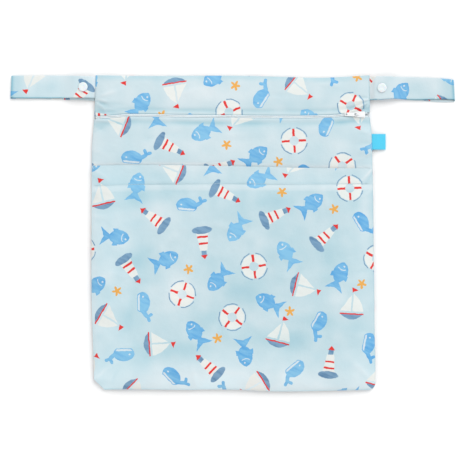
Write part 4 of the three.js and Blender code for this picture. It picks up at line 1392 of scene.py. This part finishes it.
def rounded(low_x, high_x, low_half, high_half, radius, steps=6):
    """An outline that tapers from one end to the other, with round corners."""
    corners = [(low_x, -low_half), (high_x, -high_half), (high_x, high_half), (low_x, low_half)]
    outline = []
    for k, corner in enumerate(corners):
        here = Vector(corner)
        before = (Vector(corners[k - 1]) - here).normalized() * radius
        after = (Vector(corners[(k + 1) % 4]) - here).normalized() * radius
        for j in range(steps + 1):
            t = j / steps
            point = here + before * (1 - t) ** 2 + after * t**2
            outline.append((point.x, point.y))
    return outline


class WETBAG_OT_slider(bpy.types.Operator):
    """Make the zip's slider and its pull"""

    bl_idname = "wetbag.slider"
    bl_label = "Slider and pull"

    def execute(self, context):
        trim = context.scene.wet_bag.trim
        enamel = remembered("White enamel", moulded, "White enamel", tuple(trim.slider), 0.3, 0.06, 0.4)
        x, y, z, slope = slider_place()
        low = COIL_HEIGHT + 0.55
        below = -TAPE_DROP - TAPE - SEAM_GAP - PLATE / 2
        parts = [
            self.lifted(low + PLATE / 2, "upper", [rounded(-5.8, 6.3, 3.1, 3.6, 1.5)], PLATE, 0.28),
            self.lifted(low + PLATE, "crown", [rounded(-4.9, 5.6, 1.6, 2.3, 1.2)], 0.5, 0.2),
            self.lifted(below, "under", [rounded(-6.3, 6.3, 3.1, 3.6, 1.5)], PLATE, 0.28),
            self.lifted(0.1, "wedge", [rounded(2.9, 6.1, 0.55, 0.8, 0.4)], 4.2, 0.1),
            self.bridge(low + PLATE),
        ]
        points, faces = join(parts)
        body = new_piece("slider_body", tilt(points, slope, (x, y, z)), faces, "slider", [enamel])
        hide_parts("zip_slider")

        round_hole = np.linspace(0, 2 * math.pi, 24, endpoint=False)
        outlines = [
            rounded(-PULL_LENGTH, 0.3, 2.05, 2.3, 1.5),
            rounded(-3.1, -0.5, 1.25, 1.25, 0.5),
            np.stack([np.cos(round_hole) - 12.4, np.sin(round_hole)], -1),
        ]
        tab = plate("tab", outlines, PLATE, 0.26)
        pin = tube(np.stack([np.zeros(9), np.linspace(-2.25, 2.25, 9), np.zeros(9)], -1), 0.48, 14)
        points, faces = join([tab, pin])
        pivot = np.array(frame["joints"][0]["pos_m"]) / MM - SHIFT
        tip = zip_level(u_at(pivot[0] - PULL_LENGTH, y)) + COIL_HEIGHT + SEAM_GAP + PLATE / 2
        fall = math.asin((pivot[2] - float(tip)) / PULL_LENGTH)
        pull = new_piece("pull_tab", tilt(points, -fall, pivot), faces, "slider", [enamel], body="pull")
        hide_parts("zip_pull")
        return {"FINISHED"}

    @staticmethod
    def lifted(height, *shape):
        points, faces = plate(*shape)
        return points + (0, 0, height), faces

    @staticmethod
    def bridge(base):
        """The arch that the pull hangs in."""
        rise = [(-1.5, -0.6), (-1.5, 1.7), (-1.28, 2.35), (-0.7, 2.72)]
        arch = rise + [(0, 2.8)] + [(-out, up) for out, up in rise[::-1]]
        path = np.array([(out - 3.5, 0, base + up) for out, up in arch])
        fine = np.linspace(0, len(path) - 1, 41)
        path = np.stack([np.interp(fine, np.arange(len(path)), path[:, k]) for k in range(3)], -1)
        points, faces = tube(path, 0.42, 10)
        points[:, 1] *= 1.9
        return points, faces


def strap_path():
    """A strap's middle line, out from the seam, round the fold and back behind: distances out and up."""
    seam_up = CLOTH + BACK_LIFT + SEAM_GAP + 0.5
    back_flat, front_flat = 0.5, 2.3
    back_up = POPPER_FOOT + SEAM_GAP + 0.5
    front_up = back_up + 0.5 + SEAM_GAP + 0.7 + SEAM_GAP + 1.4 + SEAM_GAP + 0.5
    near, far = POPPER_FROM_SEAM - POPPER_CLEAR, POPPER_FROM_SEAM + POPPER_CLEAR
    settle = far + 22
    radius = (front_flat - back_flat) / 2
    centre = STRAP_REACH - radius - 0.5

    def ease(a, b, low, high, count):
        t = np.linspace(0, 1, count)
        return np.stack([a + (b - a) * t, low + (high - low) * smooth(t)], -1)

    turn = np.linspace(0, math.pi, 13)
    fold = np.stack([centre + radius * np.sin(turn), back_flat + radius * (1 + np.cos(turn))], -1)
    front = [
        ease(-STRAP_TUCK, 0.5, seam_up, seam_up, 4)[:-1],
        ease(0.5, near, seam_up, front_up, 10)[:-1],
        ease(near, far, front_up, front_up, 6)[:-1],
        ease(far, settle, front_up, front_flat, 14)[:-1],
        ease(settle, centre, front_flat, front_flat, 30)[:-1],
    ]
    back = [
        ease(centre, settle, back_flat, back_flat, 30)[1:],
        ease(settle, far, back_flat, back_up, 12)[1:],
        ease(far, near, back_up, back_up, 6)[1:],
        ease(near, 0.9, back_up, 1.25, 9)[1:],
    ]
    path = np.concatenate(front + [fold] + back)
    lengths = [sum(len(p) for p in front), len(fold), sum(len(p) for p in back)]
    layer = np.concatenate([np.zeros(lengths[0]), np.linspace(0, 1, lengths[1]), np.ones(lengths[2])])
    return path, layer


def strap_seam(strap):
    y = TOP_Y - STRAP_WIDTH / 2
    return float(left_edge(y) if strap["side"] < 0 else right_edge(y))


class WETBAG_OT_straps(bpy.types.Operator):
    """Make the two straps, each folded back behind itself"""

    bl_idname = "wetbag.straps"
    bl_label = "Straps"

    def execute(self, context):
        look = context.scene.wet_bag.cloth
        cloth = remembered("Printed cloth", printed_cloth, look)
        for name, strap in STRAPS.items():
            path, layer = strap_path()
            out = path[:, 0]
            share = np.clip(out / STRAP_REACH, 0, 1)
            rows = strap["edges"]
            top, low, behind = (TOP_Y - STRAP_WIDTH * along(rows, "out", key, share) for key in list(rows)[1:])
            drop = layer * (low - behind)
            top, low = top - drop, low - drop
            seam = strap_seam(strap)
            path = np.stack([seam + strap["side"] * path[:, 0], path[:, 1]], -1)
            points, faces, flat = band(path, top - low, low, STRAP_CLOTH, STRAP_CAMBER, slices=14)
            station = np.arange(len(flat)) // (len(flat) // len(low))
            from_low = flat[:, 1] - low[station]
            at_low, at_top = strap["short"]
            short = at_low + (at_top - at_low) * np.clip(from_low / STRAP_WIDTH, 0, 1)
            points[:, 0] -= strap["side"] * short * share[station] ** 2
            points[:, 2] += 0.08 * noise(points[:, 0], points[:, 1], 12, 60) * smooth(points[:, 2] - 1.2)
            if strap["side"] > 0:
                faces = [face[::-1] for face in faces]
            turned = np.stack([flat[:, 1] - TOP_Y + 90 * strap["side"], flat[:, 0] + 31], -1)
            from_seam = flat[:, 0] - STRAP_TUCK
            from_fold = np.abs(STRAP_REACH - from_seam)
            # Painted shade on the front layer: a dark lower lip, a painted shadow slit under it by the seam and
            # darker cloth by the fold, with painted light by the seam.
            lip_shade = faded(from_low - 0.6) * (0.35 + 1.6 * smooth((from_seam - 34) / 10))
            slit = faded(from_low - 0.2) * faded((from_seam - strap["slit"]) / 4)
            seam_light = bell(from_seam - strap["root"], 4)
            fold_shade = 0.42 * faded((from_fold - 3) / 22) + 1.1 * faded(from_fold / 3.2)
            front_painted_shading = lip_shade + 1.6 * slit - 0.5 * seam_light + fold_shade
            tone = 0.45 + 0.25 * noise(flat[:, 0], flat[:, 1], 14, 12) + front_painted_shading * (1 - layer[station])
            looks = {"uv": turned, "tone": tone, "cool": np.full(len(flat), strap["cool"])}
            obj = new_piece(f"{name}_strap_cloth", points, faces, "strap_cloth", [cloth], **looks)
            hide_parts(f"{name}_strap")
        return {"FINISHED"}


class WETBAG_OT_poppers(bpy.types.Operator):
    """Make the two halves of each popper"""

    bl_idname = "wetbag.poppers"
    bl_label = "Poppers"

    def execute(self, context):
        trim = context.scene.wet_bag.trim
        depth = {"Subsurface_Weight": 0.15, "Subsurface_Scale": 0.002}
        milky = remembered("Milky plastic", moulded, "Milky plastic", tuple(trim.popper), 0.26, 0.04, 0.2, **depth)
        r = trim.popper_radius / MM
        stud = POPPER_FOOT + 2 * SEAM_GAP + 1
        socket = stud + 0.7 + SEAM_GAP
        cap = socket + 1.4 + 2 * SEAM_GAP + 1
        front = [
            (0, socket + 1.1), (2.2, socket + 1.1), (2.3, socket + 0.9), (2.3, socket + 0.1), (2.5, socket),
            (4.3, socket), (4.6, socket + 0.3), (4.6, socket + 1.1), (4.3, socket + 1.4), (1.3, socket + 1.4),
            (1.3, cap), (r - 0.5, cap), (r - 0.15, cap + 0.12), (r, cap + 0.38), (r - 0.1, cap + 0.62),
            (r - 0.45, cap + 0.84), (r - 1.0, cap + 0.97), (r - 1.7, cap + 1.0), (2.6, cap + 1.02),
            (2.1, cap + 0.96), (1.6, cap + 0.84), (0.8, cap + 0.8), (0, cap + 0.79),
        ]
        rear = [
            (0, 0.2), (0.8, 0.21), (1.6, 0.17), (2.1, 0.08), (2.6, 0.02), (r - 1.7, 0.0), (r - 1.0, 0.04),
            (r - 0.45, 0.18), (r - 0.1, 0.42), (r, 0.66), (r - 0.15, 0.92), (r - 0.5, POPPER_FOOT),
            (1.3, POPPER_FOOT), (1.3, stud), (3.9, stud), (4.2, stud + 0.25), (4.2, stud + 0.5),
            (3.9, stud + 0.7), (2.0, stud + 0.75),
            (1.7, stud + 1.1), (1.9, stud + 1.5), (1.5, stud + 1.8), (0, stud + 1.8),
        ]
        for name, strap in STRAPS.items():
            place = np.array([
                strap_seam(strap) + strap["side"] * POPPER_FROM_SEAM,
                TOP_Y - strap["popper"] * STRAP_WIDTH,
                0,
            ])
            for word, profile in (("front", front), ("rear", rear)):
                points, faces = lathe(profile)
                obj = new_piece(f"{name}_popper_{word}_half", points + place, faces, "popper", [milky])
                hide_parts(f"{name}_popper_{word}")
        return {"FINISHED"}


class WETBAG_OT_label(bpy.types.Operator):
    """Make the folded ribbon label in the right side seam"""

    bl_idname = "wetbag.label"
    bl_label = "Label"

    def execute(self, context):
        trim = context.scene.wet_bag.trim
        colours = tuple(trim.label), tuple(trim.label_shade)
        ribbon = remembered("Label ribbon", woven, "Label ribbon", *colours, 0.5, 0.5)
        bend = (LABEL_RIBBON + SEAM_GAP) / 2
        middle = CLOTH + BACK_LIFT + SEAM_GAP + (2 * LABEL_RIBBON + SEAM_GAP) / 2
        reach = 16.2 - bend - LABEL_RIBBON / 2
        out = np.linspace(-LABEL_TUCK, reach, 22)
        droop = -1.1 * smooth(out / reach)
        turn = np.linspace(0, math.pi, 11)[1:-1]
        front = np.stack([out, middle + bend + droop], -1)
        fold = np.stack([reach + bend * np.sin(turn), middle + droop[-1] + bend * np.cos(turn)], -1)
        back = np.stack([out, middle - bend + droop], -1)[::-1]
        path = np.concatenate([front, fold, back])
        y = float(LABEL_Y)
        path[:, 0] += float(right_edge(y))
        width = np.full(len(path), LABEL_WIDTH)
        points, faces, flat = band(path, width, np.full(len(path), y - LABEL_WIDTH / 2), 0.42, 0.0, slices=10)
        faces = [face[::-1] for face in faces]
        obj = new_piece("label_ribbon", points, faces, "label", [ribbon], uv=flat)
        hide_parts("side_label")
        return {"FINISHED"}


class WETBAG_PT_panel(bpy.types.Panel):
    """The bag's sizes, colours and steps"""

    bl_idname = "WETBAG_PT_panel"
    bl_label = "Wet Bag"
    bl_space_type = "VIEW_3D"
    bl_region_type = "UI"
    bl_category = "Wet Bag"

    def draw(self, context):
        settings = context.scene.wet_bag
        for step in STEPS:
            self.layout.operator(f"wetbag.{step}")
        for group in (settings.cloth, settings.trim, settings.stage):
            box = self.layout.box()
            for name in group.bl_rna.properties.keys():
                if name not in {"rna_type", "name"}:
                    box.prop(group, name)


STEPS = ("stage", "panels", "zip", "slider", "straps", "poppers", "label")
CLASSES = (
    WetBagCloth,
    WetBagTrim,
    WetBagStage,
    WetBagSettings,
    WETBAG_OT_stage,
    WETBAG_OT_panels,
    WETBAG_OT_zip,
    WETBAG_OT_slider,
    WETBAG_OT_straps,
    WETBAG_OT_poppers,
    WETBAG_OT_label,
    WETBAG_PT_panel,
)


def register():
    for item in CLASSES:
        bpy.utils.register_class(item)
    bpy.types.Scene.wet_bag = PointerProperty(type=WetBagSettings)


def unregister():
    del bpy.types.Scene.wet_bag
    for item in reversed(CLASSES):
        bpy.utils.unregister_class(item)


def main():
    register()
    for step in STEPS:
        getattr(bpy.ops.wetbag, step)()
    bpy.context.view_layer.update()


if __name__ == "__main__":
    main()
